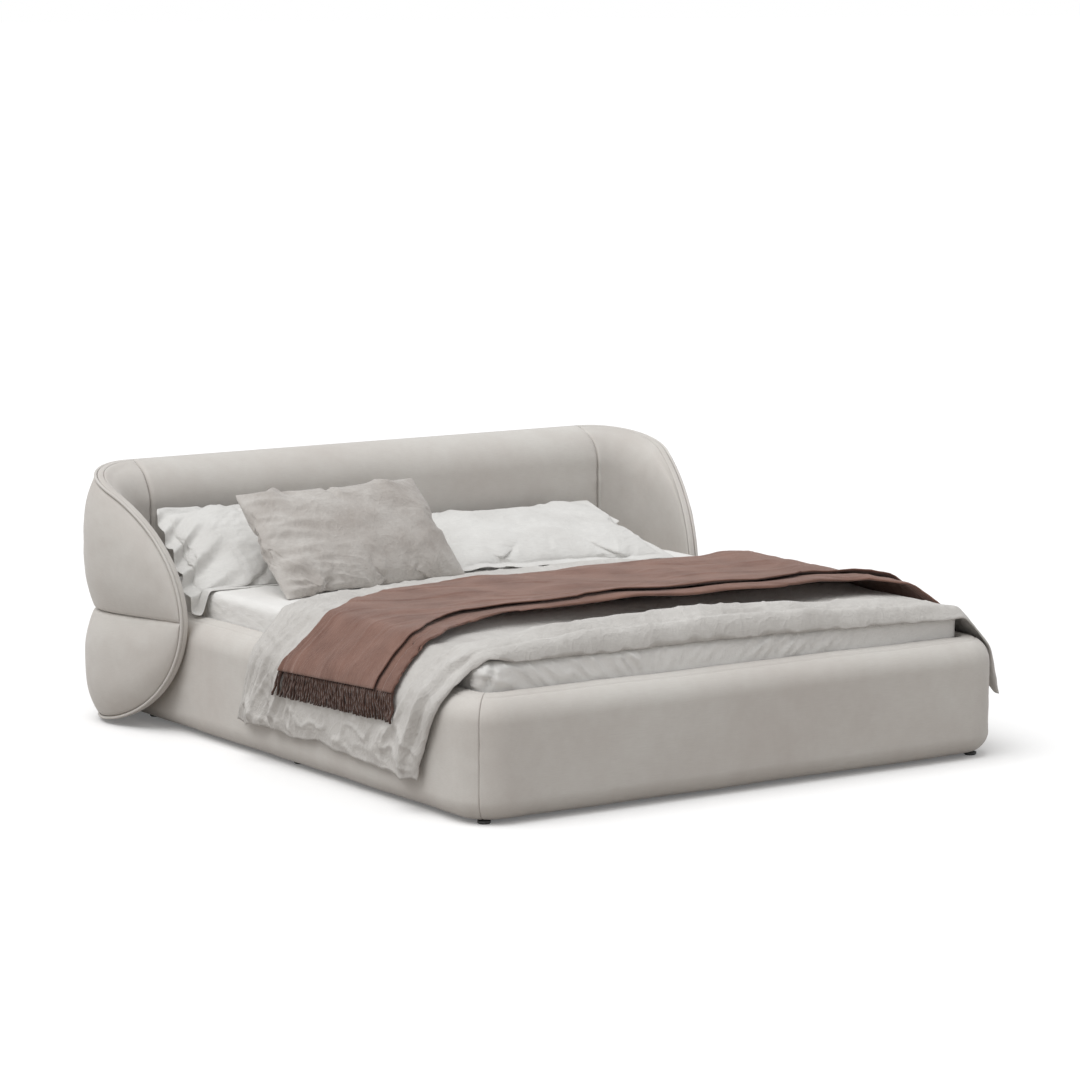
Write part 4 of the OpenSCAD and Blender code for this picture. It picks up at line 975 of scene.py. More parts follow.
def sheet_crumple(p, side):
    """Slanting wrinkles above the rails, softer ones on top; only what stands clear moves out."""
    slant = p * (1.0, 1.0, 0.3)
    slant[:, 0] -= 1.1 * np.tanh((p[:, 0] + 0.25) / 0.2) * (p[:, 2] - RAIL_TOP)
    busy = 0.35 + 0.65 * ramp(waves(p * (1, 1, 0), 0.8, 75), -0.5, 0.6)
    line = busy * (0.6 * ridges(slant, 0.13, 71, 0.2) + 0.6 * ridges(slant, 0.06, 72, 0.28))
    band = ramp(p[:, 2], RAIL_TOP - 0.004, RAIL_TOP + 0.02)
    flat = 0.0012 * waves(p, 0.3, 73) + 0.0015 * (ridges(p, 0.22, 74, 0.12) - 0.15)
    turn = MATTRESS_R * 0.27 - MATTRESS_W / 2
    tuck = np.hypot(p[:, 0] - turn, p[:, 1] - MATTRESS_FOOT - MATTRESS_R * 0.3)
    ear = 0.010 * bell(tuck, 0.05) * (1 - 2.0 * bell(p[:, 0] - turn - 0.02 * (
        p[:, 2] - RAIL_TOP) / 0.08, 0.006))
    puff = 0.003 * np.sin(math.pi * np.clip((p[:, 2] - RAIL_TOP) / (MATTRESS_TOP - RAIL_TOP), 0, 1))
    return band * side * (0.011 * (line - 0.3) + ear + puff) + (1 - side) * flat * (p[:, 2] > 0.4)


def ticking_quilt(p, side):
    """Diamond quilting and a tape edge, all pressed in from the mattress's outline."""
    a = np.abs(np.sin(math.pi * (p[:, 0] + p[:, 1]) / 0.16))
    b = np.abs(np.sin(math.pi * (p[:, 0] - p[:, 1]) / 0.16))
    stitch = bell(np.minimum(a, b), 0.16)
    middle = MATTRESS_Z + MATTRESS_H / 2
    tape = bell(np.abs(p[:, 2] - middle) - MATTRESS_H / 2 + 0.034, 0.004)
    return -0.0045 * stitch * (1 - side) - 0.004 * tape * side


QUILT_CLEAR, QUILT_INSET, SHEET_THIN = 0.00015, 0.00165, 0.0002
quilt_low, quilt_high = MATTRESS_Z + QUILT_CLEAR, MATTRESS_Z + MATTRESS_H - QUILT_CLEAR
mattress = finish_mesh(lofted("quilted_mattress", 380, 100, block_place(QUILT_INSET, quilt_low,
    quilt_high, MATTRESS_W / 2, ticking_quilt), (7.4, 2.0)), TICKING)
fitted_sheet = finish_mesh(lofted("sheet_with_wrinkles", 620, 70, block_place(0,
    MATTRESS_Z - SHEET_T, MATTRESS_TOP, 0.15, sheet_crumple), (7.4, 1.3), SHEET_T - SHEET_THIN),
    SHEET)
stand_in("mattress", 1.0, (mattress, "mattress"))
stand_in("mattress", None, (fitted_sheet, "fitted_sheet"))

# Section of the bedding
LIE_W = MATTRESS_W / 2 - MATTRESS_EDGE
EDGE_WRAP, RAIL_WRAP = MATTRESS_EDGE + 0.002, TOP_ROLL + RAIL_SLACK
EDGE_Z, RAIL_X, HANG_Z = MATTRESS_TOP - MATTRESS_EDGE, BASE_SIDE - TOP_ROLL, RAIL_TOP - TOP_ROLL
SPAN = math.hypot(RAIL_X - LIE_W, HANG_Z - EDGE_Z)
SLOPE_RUN = math.sqrt(SPAN ** 2 - (RAIL_WRAP - EDGE_WRAP) ** 2)
SLOPE_A = math.atan2(HANG_Z - EDGE_Z, RAIL_X - LIE_W) + math.acos((EDGE_WRAP - RAIL_WRAP) / SPAN)
EDGE_TURN, RAIL_TURN = EDGE_WRAP * (math.pi / 2 - SLOPE_A), RAIL_WRAP * SLOPE_A
SHOULDER_W = EDGE_TURN + SLOPE_RUN + RAIL_TURN
HANG_W = LIE_W + SHOULDER_W
HEM_LEFT, HEM_RIGHT = HANG_W + HANG_Z - 0.115, HANG_W + HANG_Z - 0.215
THROW_LEFT, THROW_RIGHT = HANG_W - 0.015, HANG_W - 0.022
LIE_Z, LIE_RISE, FOOT_DROP = MATTRESS_TOP + LIFT, 0.002 - LIFT, 0.04
EDGE_PUFF, LEAST_PUFF, RIGHT_CLOSER, THROW_REST = 0.009, 0.0035, 0.007, 0.0055


def draped(w, off):
    """x and z of a point of the section, w metres over the cloth from the middle line."""
    t = w - LIE_W
    a = np.where(t < EDGE_TURN, math.pi / 2 - t / EDGE_WRAP, SLOPE_A)
    run = np.clip(t - EDGE_TURN, 0, SLOPE_RUN)
    b = np.clip((SHOULDER_W - t) / RAIL_WRAP, 0, SLOPE_A)
    x = np.where(t <= 0, w, np.where(t < EDGE_TURN + SLOPE_RUN,
        LIE_W + (EDGE_WRAP + off) * np.cos(a) + run * math.sin(SLOPE_A),
        RAIL_X + (RAIL_WRAP + off) * np.cos(b)))
    z = np.where(t <= 0, LIE_Z + LIE_RISE * ramp(w, LIE_W - 0.32, LIE_W) + off,
        np.where(t < EDGE_TURN + SLOPE_RUN,
            EDGE_Z + (EDGE_WRAP + off) * np.sin(a) - run * math.cos(SLOPE_A),
            HANG_Z + (RAIL_WRAP + off) * np.sin(b) - np.maximum(t - SHOULDER_W, 0)))
    return x, z


def table(start, *rows):
    """An edge's places over the width of the cloth, measured from one end of the mattress."""
    q, y = np.array(rows).T
    fine = np.linspace(q[0], q[-1], 400)
    raw = np.interp(fine, q, y)
    width = bell(np.linspace(-1, 1, 25), 0.5)
    soft_line = np.convolve(np.pad(raw, 12, mode="edge"), width / width.sum(), mode="valid")
    return lambda at: start + np.interp(at, fine, soft_line)


# Most values of the five tables duvet_head, duvet_foot, throw_back, throw_front and second_fold
# were proposed by a scratch solver, which fitted these edges to lines read off the photo. The
# values of roll_height lie near heights that another scratch script worked out from points of
# the photo.
duvet_head = table(MATTRESS_HEAD, (-HEM_LEFT, -0.75), (-HANG_W, -0.82), (-LIE_W - 0.065, -0.822),
    (-LIE_W - 0.02, -0.826), (0.03 - LIE_W, -0.79), (0.132 - LIE_W, -0.722), (-0.02, -0.58),
    (0.41 * LIE_W, -0.582), (LIE_W - 0.272, -0.65), (LIE_W - 0.122, -0.712), (HANG_W, -0.736),
    (HEM_RIGHT, -0.746))
duvet_foot = table(MATTRESS_FOOT, (-HEM_LEFT - 0.035, 0.184), (0.05 - HEM_LEFT, 0.166),
    (-HANG_W, 0.092), (-LIE_W - 0.142, 0.06), (-LIE_W - 0.1, 0.062), (-LIE_W - 0.04, 0.046),
    (-LIE_W, -0.006), (0, -0.01), (0.5 * LIE_W, -0.017), (LIE_W - 0.04, -0.026),
    (HANG_W, -0.02), (HEM_RIGHT, -0.056))
roll_height = table(0, (-HANG_W, 0.02), (-LIE_W - 0.03, 0.026), (0.11 - LIE_W, 0.038),
    (0.24 - LIE_W, 0.052), (0.38 - LIE_W, 0.062), (-0.2, 0.064), (0.1, 0.056), (0.4 * LIE_W, 0.042),
    (0.66 * LIE_W, 0.029), (LIE_W - 0.13, 0.007), (LIE_W - 0.04, 0), (HANG_W, 0))
throw_back = table(MATTRESS_FOOT, (-THROW_LEFT, 0.96), (-LIE_W - 0.146, 0.912),
    (-LIE_W - 0.062, 0.898), (-LIE_W, 0.896), (0.072 - LIE_W, 0.944), (0.196 - LIE_W, 1.052),
    (0.338 - LIE_W, 1.124), (-0.37 * LIE_W, 1.166), (0, 1.17), (0.5 * LIE_W, 1.18),
    (LIE_W - 0.052, 1.152), (THROW_RIGHT, 1.124))
throw_front = table(MATTRESS_FOOT, (-THROW_LEFT, 0.296), (-LIE_W - 0.1, 0.322),
    (-LIE_W - 0.02, 0.312), (0.018 - LIE_W, 0.33), (0.14 - LIE_W, 0.422), (0.262 - LIE_W, 0.464),
    (0.358 - LIE_W, 0.472), (0.486 - LIE_W, 0.462), (-0.21 * LIE_W, 0.42), (0.09 * LIE_W, 0.362),
    (0.3 * LIE_W, 0.335), (0.5 * LIE_W, 0.336), (LIE_W - 0.172, 0.355), (LIE_W - 0.072, 0.325),
    (LIE_W, 0.26), (LIE_W + 0.06, 0.2), (LIE_W + 0.15, 0.14), (THROW_RIGHT, 0.1))
second_fold = table(0, (-THROW_LEFT, 0.088), (-LIE_W - 0.028, 0.084), (-0.9 * LIE_W, 0.108),
    (-0.7 * LIE_W, 0.1), (-0.58 * LIE_W, 0.058), (-0.42 * LIE_W, 0.03), (-0.11 * LIE_W, 0.038),
    (0.11 * LIE_W, 0.04), (0.34 * LIE_W, 0.044), (0.62 * LIE_W, 0.07), (0.8 * LIE_W, 0.11),
    (THROW_RIGHT, 0.125))


def foot_drop(q, y):
    return (FOOT_DROP * ramp(MATTRESS_FOOT - y, -0.008, 0.04)
        * fall(-q, LIE_W - 0.02, LIE_W + 0.08) * (1 - 0.35 * ramp(q, LIE_W - 0.02, LIE_W + 0.08)))


def under_throw(y):
    front, back = throw_front(-THROW_LEFT), throw_back(-THROW_LEFT)
    return ramp(y - front, -0.086, 0.014) * fall(y - back, -0.016, 0.084)


def fold(q, y, z):
    """How far the hanging folds stand out: 0 to 1 of their depth, held flatter by the throw."""
    depth = FOLD_DEPTH * ramp(HANG_Z + 0.06 - z, 0, 0.24)
    hold = 1 - np.where(q < 0, 0.8 * under_throw(y), 0.75)
    turn = 2 * math.pi / FOLD_PITCH
    return depth * hold * (0.5 - 0.35 * np.cos(turn * y) - 0.15 * np.cos(turn / 0.61 * y + 0.7))


def bedding(q, y, off):
    w = np.abs(q)
    x, z = draped(w, off)
    x = x + fold(q, y, z) * (w > LIE_W) - RIGHT_CLOSER * ramp(q, LIE_W + 0.03, HANG_W)
    return points(np.where(q < 0, -x, x), y, z - foot_drop(q, y))


def duvet_hollow(q, far):
    """The dip between the foot roll and the throw, and on under the throw's front."""
    return (0.018 * ramp(far, 0.10, 0.2) * fall(far, 0.46, 0.58)
        * fall(np.abs(q), LIE_W - 0.08, LIE_W + 0.06))


def duvet_depth(q, share):
    w = np.abs(q)
    ends = ramp(share, 0, 0.03) * fall(share, 0.975, 1)
    far = share * (duvet_head(q) - duvet_foot(q))
    line = far - 0.044 - 0.004 * np.sin(9 * q) - 0.003 * np.sin(23 * q + 1)
    front = 0.66 * end_round(far, 0.034) + 0.34 * ramp(far, 0.045, 0.1)
    hump = front * fall(far, 0.10, 0.21)
    groove = 0.008 * bell(line, 0.008) * ramp(roll_height(q), 0.005, 0.03)
    thin = SIDE_THIN * ramp(w, LIE_W - 0.09, LIE_W + 0.04) + 0.004 * ramp(q, LIE_W, LIE_W + 0.08)
    return (EDGE_PUFF + (DUVET_T - EDGE_PUFF - thin) * ends + roll_height(q) * hump
        - duvet_hollow(q, far) - groove)


def covered(q, y):
    """1 under the throw, 0 clear of it."""
    front, back = throw_front(q), throw_back(q)
    inside = ramp(y - front, -0.13, -0.03) * fall(y - back, 0.01, 0.08)
    return inside * ramp(q, -THROW_LEFT - 0.02, -THROW_LEFT + 0.02)


def duvet_share(q, y):
    foot, head = duvet_foot(q), duvet_head(q)
    return (y - foot) / (head - foot)


def duvet_wrinkles(q, y):
    """Crumpled, puffy cloth: soft hollows, thin pressed lines, and gathers over the foot roll."""
    p = points(q, y, 0)
    bare = 1 - 0.85 * covered(q, y)
    from_foot, to_head = y - duvet_foot(q), duvet_head(q) - y
    roll = bell(from_foot - 0.04, 0.04) * fall(np.abs(q), LIE_W - 0.05, LIE_W + 0.08)
    slant = points(q + 0.5 * y, 0.35 * y, 0)
    soft_part = 0.0045 * waves(p, 0.42, 81) + 0.003 * waves(p, 0.16, 82)
    lines = 0.004 * (ridges(p * (1, 1.5, 1), 0.34, 83, 0.10) - 0.1) + 0.003 * (
        ridges(p, 0.15, 84, 0.14) - 0.12)
    gathers = roll * (0.002 * waves(slant, 0.16, 85) + 0.003 * (ridges(slant, 0.13, 86, 0.2)
        - 0.2))
    hang = ramp(-q, LIE_W - 0.1, LIE_W + 0.06)
    pulled = points(0.12 * q, to_head + 0.012 * np.sin(9 * q), 0)
    head_folds = fall(to_head, 0.24, 0.4) * (0.013 * (ridges(pulled, 0.09, 87, 0.26) - 0.3)
        + 0.006 * (ridges(pulled, 0.045, 79, 0.3) - 0.3))
    swept = points(0.15 * q, from_foot + 0.02 * np.sin(7 * q + 1), 0)
    foot_folds = 0.016 * fall(from_foot, 0.2, 0.36) * (ridges(swept, 0.13, 88, 0.34) - 0.35)
    crumple = 0.008 * (ridges(p, 0.10, 89, 0.22) - 0.2)
    low = ramp(-q, HANG_W + 0.02, HANG_W + 0.12)
    return bare * (soft_part * (1 - 0.5 * hang) + lines + gathers) + hang * (
        head_folds + foot_folds) * (0.35 + 0.65 * bare) + low * crumple


def duvet_off(q, y):
    """Height of the duvet's upper side over its underside."""
    share = np.clip(duvet_share(q, y), 0, 1)
    hem = np.where(q < 0, HEM_LEFT, HEM_RIGHT)
    taper = 1 - 0.6 * ramp(np.abs(q), hem - 0.05, hem)
    edge = (np.minimum(ramp(share, 0, 0.03), fall(share, 0.97, 1))
        * fall(np.abs(q), hem - 0.03, hem))
    depth = duvet_depth(q, share) * taper
    return np.maximum(depth + duvet_wrinkles(q, y) * (0.25 + 0.75 * edge), LEAST_PUFF)


def make_duvet():
    def place_at(u, v, shown):
        along = points(v * 1.3, 0, 0)
        share = v - 0.06 * np.sin(2 * math.pi * v)
        left = (-HEM_LEFT + 0.004 - 0.026 * (1 - v) ** 2 + 0.008 * waves(along, 0.16, 90)
            + 0.004 * waves(along, 0.05, 97))
        q = mix(left, HEM_RIGHT - 0.004 + 0.006 * waves(along, 0.2, 98), u)
        y = mix(duvet_foot(q), duvet_head(q), share)
        uneven = 0.0012 * waves(points(q, 0, 0), 0.09, 78) + 0.002 * waves(
            points(q, y * 3, 0), 0.07, 77)
        y = y + uneven * fade(y - duvet_foot(q), 0.05)
        off = duvet_off(q, y)
        if not shown:
            hem = np.where(q < 0, HEM_LEFT, HEM_RIGHT)
            rim = np.minimum(np.minimum(v, 1 - v) * 1.5, hem - np.abs(q))
            corner = np.exp(-((q + LIE_W + 0.05) / 0.06) ** 2 - (y - duvet_foot(q)) / 0.06)
            off = np.minimum(0.004 * fade(rim, 0.01) + 0.02 * corner, off - 0.003)
        return bedding(q, y, off)

    return two_sided("puffy_duvet", 330, 170, place_at, (2.5, 1.6))


duvet = finish_mesh(make_duvet(), DUVET)
stand_in("duvet", 0.5, (duvet, "duvet"))

# Throw and its fringe
LAYER_T, LAYER_GAP, THROW_ARCH, THROW_STAND = 0.004, 0.003, 0.014, 0.046
THROW_SLANT, FRINGE_FAN, STRAND_R, STRAND_TURN = 0.022, 0.036, 0.005, 5.0


def arched(q):
    """The stiff cloth stands off the duvet where it turns over the right shoulder."""
    return ramp(q, LIE_W - 0.19, LIE_W + 0.02) * fall(q, LIE_W + 0.06, LIE_W + 0.19)


def stood(q, far):
    """The cloth bunched up inside makes the front stand higher towards the right."""
    return ((0.15 + 0.85 * ramp(q, -0.85 * LIE_W, -0.1 * LIE_W))
        * ramp(q, -LIE_W - 0.06, -0.7 * LIE_W)
        * (1 - 0.7 * ramp(q, LIE_W - 0.3, LIE_W + 0.06)) * fall(far, 0.04, 0.28))


def throw_bed(q, y):
    """Height of the duvet that the throw lies on, without the throw's own dents."""
    w = np.abs(q)
    return (duvet_off(q, y) + duvet_hollow(q, y - duvet_foot(q)) + THROW_REST
        + 0.004 * ramp(w, LIE_W - 0.12, LIE_W + 0.06))


def throw_off(q, y):
    front = throw_front(q)
    p = points(0.25 * q, y + 0.10 * q, 0)
    p[:, 1] += 0.02 * waves(points(q, 0, 0), 0.5, 96)
    flat = 1 - 0.6 * ramp(np.abs(q), LIE_W - 0.15, LIE_W + 0.1)
    long_lines = flat * (0.002 * waves(p, 0.12, 91) + 0.003 * (ridges(p, 0.17, 92, 0.16) - 0.2)
        ) + 0.0035 * waves(points(q, 1.6 * y + 0.8 * q, 0), 0.34, 99)
    return (throw_bed(q, y) + THROW_ARCH * arched(q) + THROW_STAND * stood(q, y - front)
        + np.maximum(long_lines, -0.003) + 0.003)


def make_throw():
    """One sheet: from its tucked front edge up the front face, back over the lower half, round
    the fold at the back, and forward again as the upper half."""
    turn = (LAYER_T + LAYER_GAP) / 2
    tuck = 0.05

    def place_at(u, v):
        q = mix(-THROW_LEFT, THROW_RIGHT, u)
        q_line = points(q, 0, 0)
        front = throw_front(q) + 0.004 * waves(q_line, 0.4, 93)
        back = throw_back(q) - turn
        tall = THROW_STAND * stood(q, 0) + THROW_ARCH * arched(q)
        face = 0.3 * np.maximum(tall - 0.008, 0)
        low = back - front
        high = low - second_fold(q) - 0.004 * waves(q_line, 0.4, 94)
        bend = math.pi * turn
        total = tuck + face + low + bend + high
        s = v * total - tuck - face
        a = np.clip((s - low) / turn, 0, math.pi)
        y = np.where(s < 0, front + 0.004 + np.clip(-s - face, 0, tuck),
            np.where(s < low, front + s, np.where(s < low + bend, back + turn * np.sin(a),
            back - (s - low - bend))))
        edge = np.where(s < low, 1.0, low + bend + high - s)
        q = q + THROW_SLANT * (1 - u) ** 6 * np.clip((back - y) / low, 0, 1)
        curl = 0.0035 * fade(edge, 0.02) * (1 + 0.5 * waves(q_line, 0.35, 95))
        lift = turn * (1 - np.cos(a))
        part = 0.006 * arched(q) * (s > low) * fade(edge, 0.1)
        top = throw_off(q, np.maximum(y, front)) + lift + curl + part + LAYER_T / 2
        down = np.clip(-s, 0, face)
        nose = fade(np.abs(s), 0.012)
        off = np.where(s < 0, np.maximum(top - down, throw_bed(q, y) + LAYER_T / 2
            + 0.001), top)
        off = off - 0.004 * nose * (face > 0.004)
        return bedding(q, y - 0.006 * np.sin(np.pi * down / np.maximum(face, 1e-6)) * (s < 0), off)

    return lofted("folded_throw", 330, 260, place_at, (2.1, 1.5), LAYER_T)


throw = finish_mesh(make_throw(), THROW)
stand_in("throw", None, (throw, "throw_blanket"))


def make_fringe(count=56, length=0.085):
    """Twisted tassels: one is turned and twisted once, then copied along the throw's end."""
    rings, sides = 8, 6
    tidy_selection()
    bpy.ops.mesh.primitive_cylinder_add(vertices=sides, radius=1, depth=1, end_fill_type="NGON")
    one = bpy.context.object

    def cut_rings():
        bpy.ops.mesh.bisect(plane_co=(0, 0, 0), plane_no=(0, 0, 1))
        for level in np.linspace(-0.5, 0.5, rings + 1)[1:-1]:
            bpy.ops.mesh.select_all(action="SELECT")
            bpy.ops.mesh.bisect(plane_co=(0, 0, level), plane_no=(0, 0, 1))

    edit_all(one, cut_rings)
    shape = read(one)
    rng = np.random.default_rng(7)
    front, back = throw_front(-THROW_LEFT) + 0.008, throw_back(-THROW_LEFT) + 0.002
    copies = []
    for k in range(count):
        y = mix(front, back, (k + 0.5) / count) + rng.uniform(-0.0015, 0.0015)
        reach = length * rng.uniform(0.97, 1.02)
        sway, phase, fat = rng.uniform(-0.002, 0.002), rng.uniform(0, 6.28), rng.uniform(1.0, 1.15)
        d = 0.5 - shape[:, 2]
        knot = 1 + 0.5 * bell(d - 0.1, 0.06)
        wide = (STRAND_R * fat * knot * (1 - 0.35 * ramp(d, 0.75, 1))
            * (0.8 + 0.2 * ramp(d, 0, 0.1)))
        a = STRAND_TURN * d + phase
        oval = wide * (1 + 0.22 * np.cos(2 * np.arctan2(shape[:, 1], shape[:, 0])))
        dx = oval * (shape[:, 0] * np.cos(a) - shape[:, 1] * np.sin(a))
        dy = oval * (shape[:, 0] * np.sin(a) + shape[:, 1] * np.cos(a))
        share = (k + 0.5) / count
        q = np.full(len(d), -THROW_LEFT) - reach * d + 0.006 + THROW_SLANT * (1 - share)
        yy = np.full(len(d), y) + sway * np.sin(3 * d + phase) + FRINGE_FAN * d * (1.4 * share
            - 0.4)
        hang = bedding(q, yy, duvet_off(q, yy) + 0.0095 + 0.004 * (1 - d))
        hang[:, 0] += -dx
        hang[:, 1] += dy
        copy = one.copy()
        copy.data = one.data.copy()
        bpy.context.collection.objects.link(copy)
        write(copy, hang)
        copies.append(copy)
    bpy.data.objects.remove(one)
    return joined("twisted_fringe", copies)


fringe = finish_mesh(make_fringe(), FRINGE)
stand_in("throw", None, (fringe, "throw_fringe"))

# Pillows and cushion
PILLOW_T, CUSHION_T, FLANGE_T, FULL_EDGE, BORDER_CELLS = 0.150, 0.130, 0.005, 0.85, 4


def support(p):
    return MATTRESS_TOP + LIFT - (MATTRESS_TOP - RAIL_TOP) * ramp(np.abs(p[:, 0]) - MATTRESS_W / 2,
        0.005, 0.038)


def puffed(cells, size, air, frames=24):
    """A flat bag blown up by cloth simulation: its points, front then back, as a grid."""
    nx, ny = cells
    w, h = size

    def place_at(u, v, shown):
        x, y = 2 * u - 1, 2 * v - 1
        z = 0.0015 + 0.02 * np.clip((1 - x ** 4) * (1 - y ** 4), 0, 1) ** 0.6
        return points(x * w / 2, y * h / 2, z if shown else -z)

    bag = two_sided("bag", nx, ny, place_at, (1, 1))
    co = read(bag)
    order = len(co) // 2
    i = np.rint((co[:, 0] / w + 0.5) * nx).astype(int)
    j = np.rint((co[:, 1] / h + 0.5) * ny).astype(int)
    edit_all(bag, even_normals)
    m = bag.modifiers.new("air", "CLOTH")
    c = m.settings
    c.quality, c.mass, c.air_damping = 6, 0.2, 2.0
    c.tension_stiffness = c.compression_stiffness = 18
    c.shear_stiffness, c.bending_stiffness = 6, 0.15
    c.use_pressure, c.uniform_pressure_force = True, air
    c.effector_weights.gravity = 0
    m.collision_settings.use_collision = False
    m.point_cache.frame_start, m.point_cache.frame_end = 1, frames
    scene = bpy.context.scene
    for f in range(1, frames + 1):
        scene.frame_set(f)
    pick(bag)
    bpy.ops.object.modifier_apply(modifier="air")
    scene.frame_set(1)
    co = read(bag)
    out = np.zeros((2, nx + 1, ny + 1, 3))
    out[0][i[:order], j[:order]] = co[:order]
    out[1][i[order:], j[order:]] = co[order:]
    bpy.data.objects.remove(bag)
    return out


def stuffed(name, corners, fullness, border, cells, size, air, extra, finish,
        spread=0.0):
    """A cushion between four corners: a blown-up bag with a flat cloth border, laid in place."""
    nx, ny = cells
    rim = BORDER_CELLS if border else 0
    w, h = size
    body = puffed((nx - 2 * rim, ny - 2 * rim), (w - 2 * border, h - 2 * border), air)
    reach_x, reach_y = body[0][-1, :, 0] - body[0][0, :, 0], body[0][:, -1, 1] - body[0][:, 0, 1]
    body[..., 0] *= mix(1, reach_x.max() / reach_x, FULL_EDGE)
    body[..., 1] *= mix(1, reach_y.max() / reach_y, FULL_EDGE)[:, None]
    corner_x = np.abs(body[0][[0, 0, -1, -1], [0, -1, 0, -1], 0]).mean() + border
    corner_y = np.abs(body[0][[0, 0, -1, -1], [0, -1, 0, -1], 1]).mean() + border
    thick = np.abs(body[..., 2]).max()
    ll, lr, ur, ul = (np.array(c) for c in corners)
    across, along = lr - ll + ur - ul, ul - ll + ur - lr
    outwards = np.cross(across, along)
    outwards /= np.linalg.norm(outwards)

    def place_at(u, v, shown):
        way = 1 if shown else -1
        layer = body[0 if shown else 1]
        i, j = np.rint(u * nx).astype(int), np.rint(v * ny).astype(int)
        ic, jc = np.clip(i, rim, nx - rim), np.clip(j, rim, ny - rim)
        base = layer[ic - rim, jc - rim].copy()
        if rim:
            step_x, step_y = (i - ic) / rim, (j - jc) / rim
            out_of = (np.abs(step_x) + np.abs(step_y)) > 0
            base[:, 0] += step_x * border
            base[:, 1] += step_y * border
            base[out_of, 2] = way * 0.0012
        s, t = base[:, 0] / corner_x, base[:, 1] / corner_y
        full = np.abs(base[:, 2]) / thick
        height = way * (FLANGE_T / 4 + fullness / 2 * full) + extra(s, t, way, full)
        s = s - spread * ramp(-s, 0.55, 1.0) * np.sqrt(np.clip(1 - t * t, 0, 1))
        a, b = ((1 + s) / 2)[:, None], ((1 + t) / 2)[:, None]
        p = (ll * (1 - a) + lr * a) * (1 - b) + (ul * (1 - a) + ur * a) * b
        p = p + height[:, None] * outwards
        p[:, 2] = np.maximum(p[:, 2], support(p) + (0.004 * (1 + full) if shown else 0))
        return p

    o = two_sided(name, nx, ny, place_at, size)
    smooth = o.modifiers.new("smooth", "SUBSURF")
    smooth.levels = smooth.render_levels = 1
    pick(o)
    bpy.ops.object.modifier_apply(modifier="smooth")
    return finish_mesh(o, finish)


def head_corner(x, y, z):
    return (x, MATTRESS_HEAD + y, MATTRESS_TOP + z)


def left_extra(s, t, way, full):
    """Sharp pleats at the open end of the left pillow's case, and creases from its seam."""
    wave = ((t - (0.26 + 0.9 * (t + 0.9)) * (s + 1)) * 2.5 + 0.1) % 1.0
    pleat = np.where(wave < 0.25, wave / 0.25, (1 - wave) / 0.75)
    seam = -1 + 0.48 * (1 - np.clip((1 + t) / 2, 0, 1) ** 3)
    fan = np.clip((seam - s) / 0.34, 0, 1) ** 0.8
    p = points(s * 0.35, t * 0.27, 0)
    past = s - seam
    fine = 0.005 * (ridges(points(0.06 * s, 0.27 * t + 0.05 * s, 0), 0.045, 101, 0.25) - 0.25)
    stitched = -0.005 * bell(past, 0.012) * (way > 0)
    flat = -0.35 * PILLOW_T / 2 * full * ramp(seam - s, 0, 0.2) * way
    by_seam = fine * ramp(past, 0.0, 0.06) * fall(past, 0.3, 0.9)
    creased = 0.003 * waves(p, 0.13, 102) + 0.003 * (ridges(p, 0.12, 103, 0.12) - 0.1)
    return 0.045 * fan * (pleat - 0.6) + flat + by_seam + stitched + creased * full


def right_extra(s, t, way, full):
    p = points(s * 0.38, t * 0.3, 0)
    slash = bell(t + 0.75 * s + 0.1, 0.035) * ramp(-t, -0.35, 0.2)
    flap = 0.004 * waves(points(s * 0.38, 0, 0), 0.12, 112) * (1 - full)
    return flap + (0.0035 * waves(p, 0.15, 113) + 0.004 * (ridges(p, 0.15, 114, 0.1) - 0.1)
        - 0.006 * slash * (way > 0)) * np.sqrt(full)


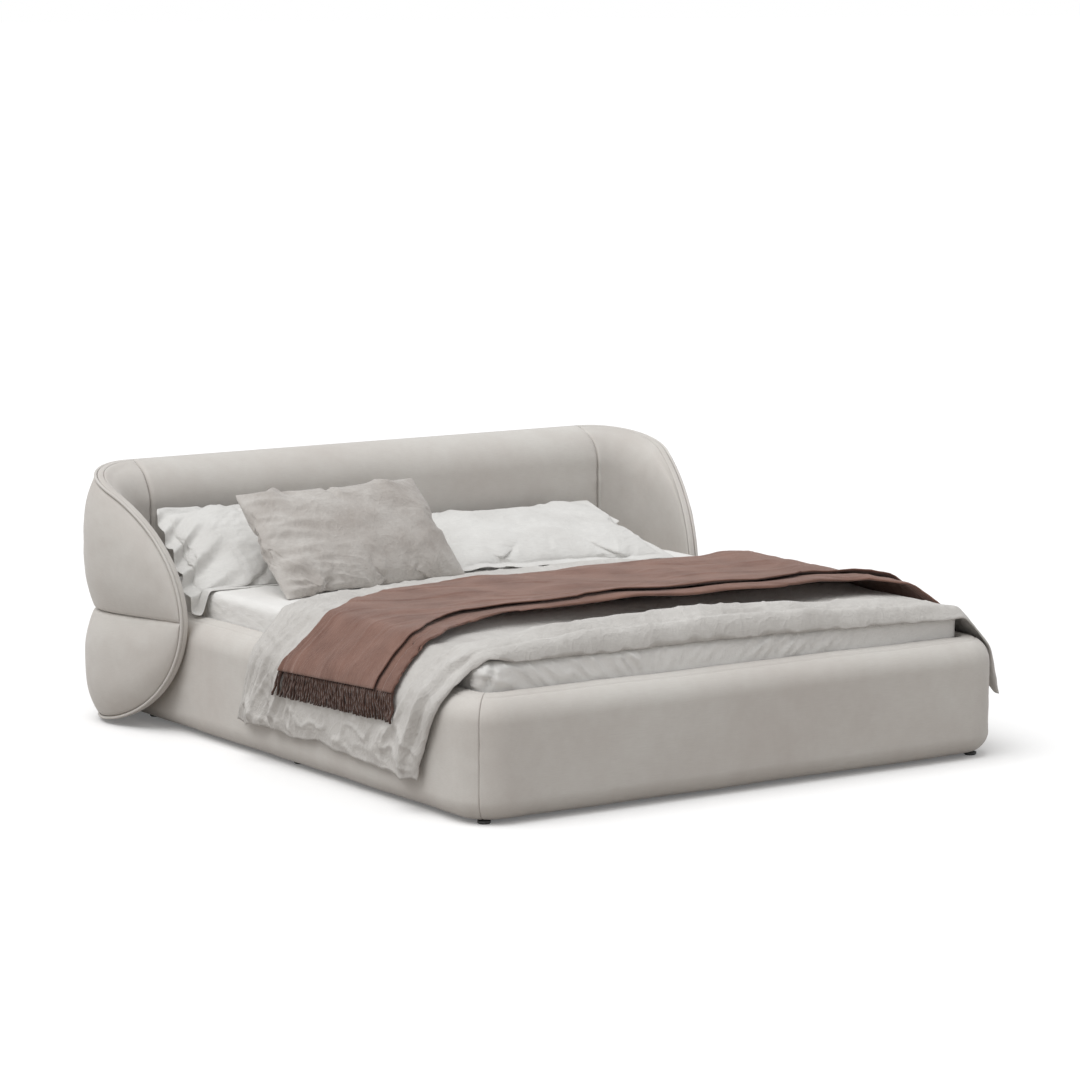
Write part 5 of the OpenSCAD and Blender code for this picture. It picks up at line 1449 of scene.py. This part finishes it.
def cushion_extra(s, t, way, full):
    p = points(s * 0.3, t * 0.25, 0)
    left, low = fade(1 + s, 0.45), fade(1 + t, 0.25)
    rays = ridges(points(0.07 * s, 0.25 * t + 0.09 * s, 0), 0.07, 121, 0.3) - 0.3
    creases = ridges(points(0.33 * s + 0.08 * t, 0.06 * t, 0), 0.08, 124, 0.3) - 0.3
    dents = bell(s - 0.42 - 0.3 * (t + 0.6), 0.03) * ramp(-t, 0.2, 0.7)
    soft_edge = ramp(1 - np.maximum(np.abs(s), np.abs(t)), 0, 0.12)
    return (0.020 * left * rays + 0.014 * low * creases + 0.003 * waves(p, 0.12, 122) + 0.003
        * (ridges(p, 0.1, 123, 0.1) - 0.1)) * soft_edge - 0.006 * dents * (way > 0)


SIDE_X = MATTRESS_W / 2
pillow_left = stuffed("left_pillow", [head_corner(-SIDE_X - 0.04, -0.365, RAIL_TOP - MATTRESS_TOP
    + 0.010), head_corner(-0.18, -0.436, 0.008), head_corner(-0.165, -0.01, 0.224),
    head_corner(0.005 - SIDE_X, -0.006, 0.234)], PILLOW_T, 0.035, (84, 60), (0.75, 0.5), 4.0,
    left_extra, PILLOW, 0.08)
pillow_right = stuffed("right_pillow", [head_corner(-0.045, -0.484, 0.008),
    head_corner(SIDE_X - 0.148, -0.648, 0.008), head_corner(SIDE_X - 0.07, -0.011, 0.13),
    head_corner(0.005, -0.011, 0.13)], 0.72 * PILLOW_T, 0.03, (90, 66), (0.8, 0.58), 4.0,
    right_extra, PILLOW)
throw_cushion = stuffed("square_cushion", [head_corner(0.11 - SIDE_X, -0.664, 0),
    head_corner(-0.02, -0.522, 0), head_corner(-0.128, -0.358, 0.316),
    head_corner(0.128 - SIDE_X, -0.296, 0.299)], CUSHION_T, 0, (80, 56), (0.76, 0.42), 5.0,
    cushion_extra, CUSHION)
stand_in("pillow_left", 0.6, (pillow_left, "pillow_left"))
stand_in("pillow_right", 0.6, (pillow_right, "pillow_right"))
stand_in("throw_cushion", 0.6, (throw_cushion, "throw_cushion"))
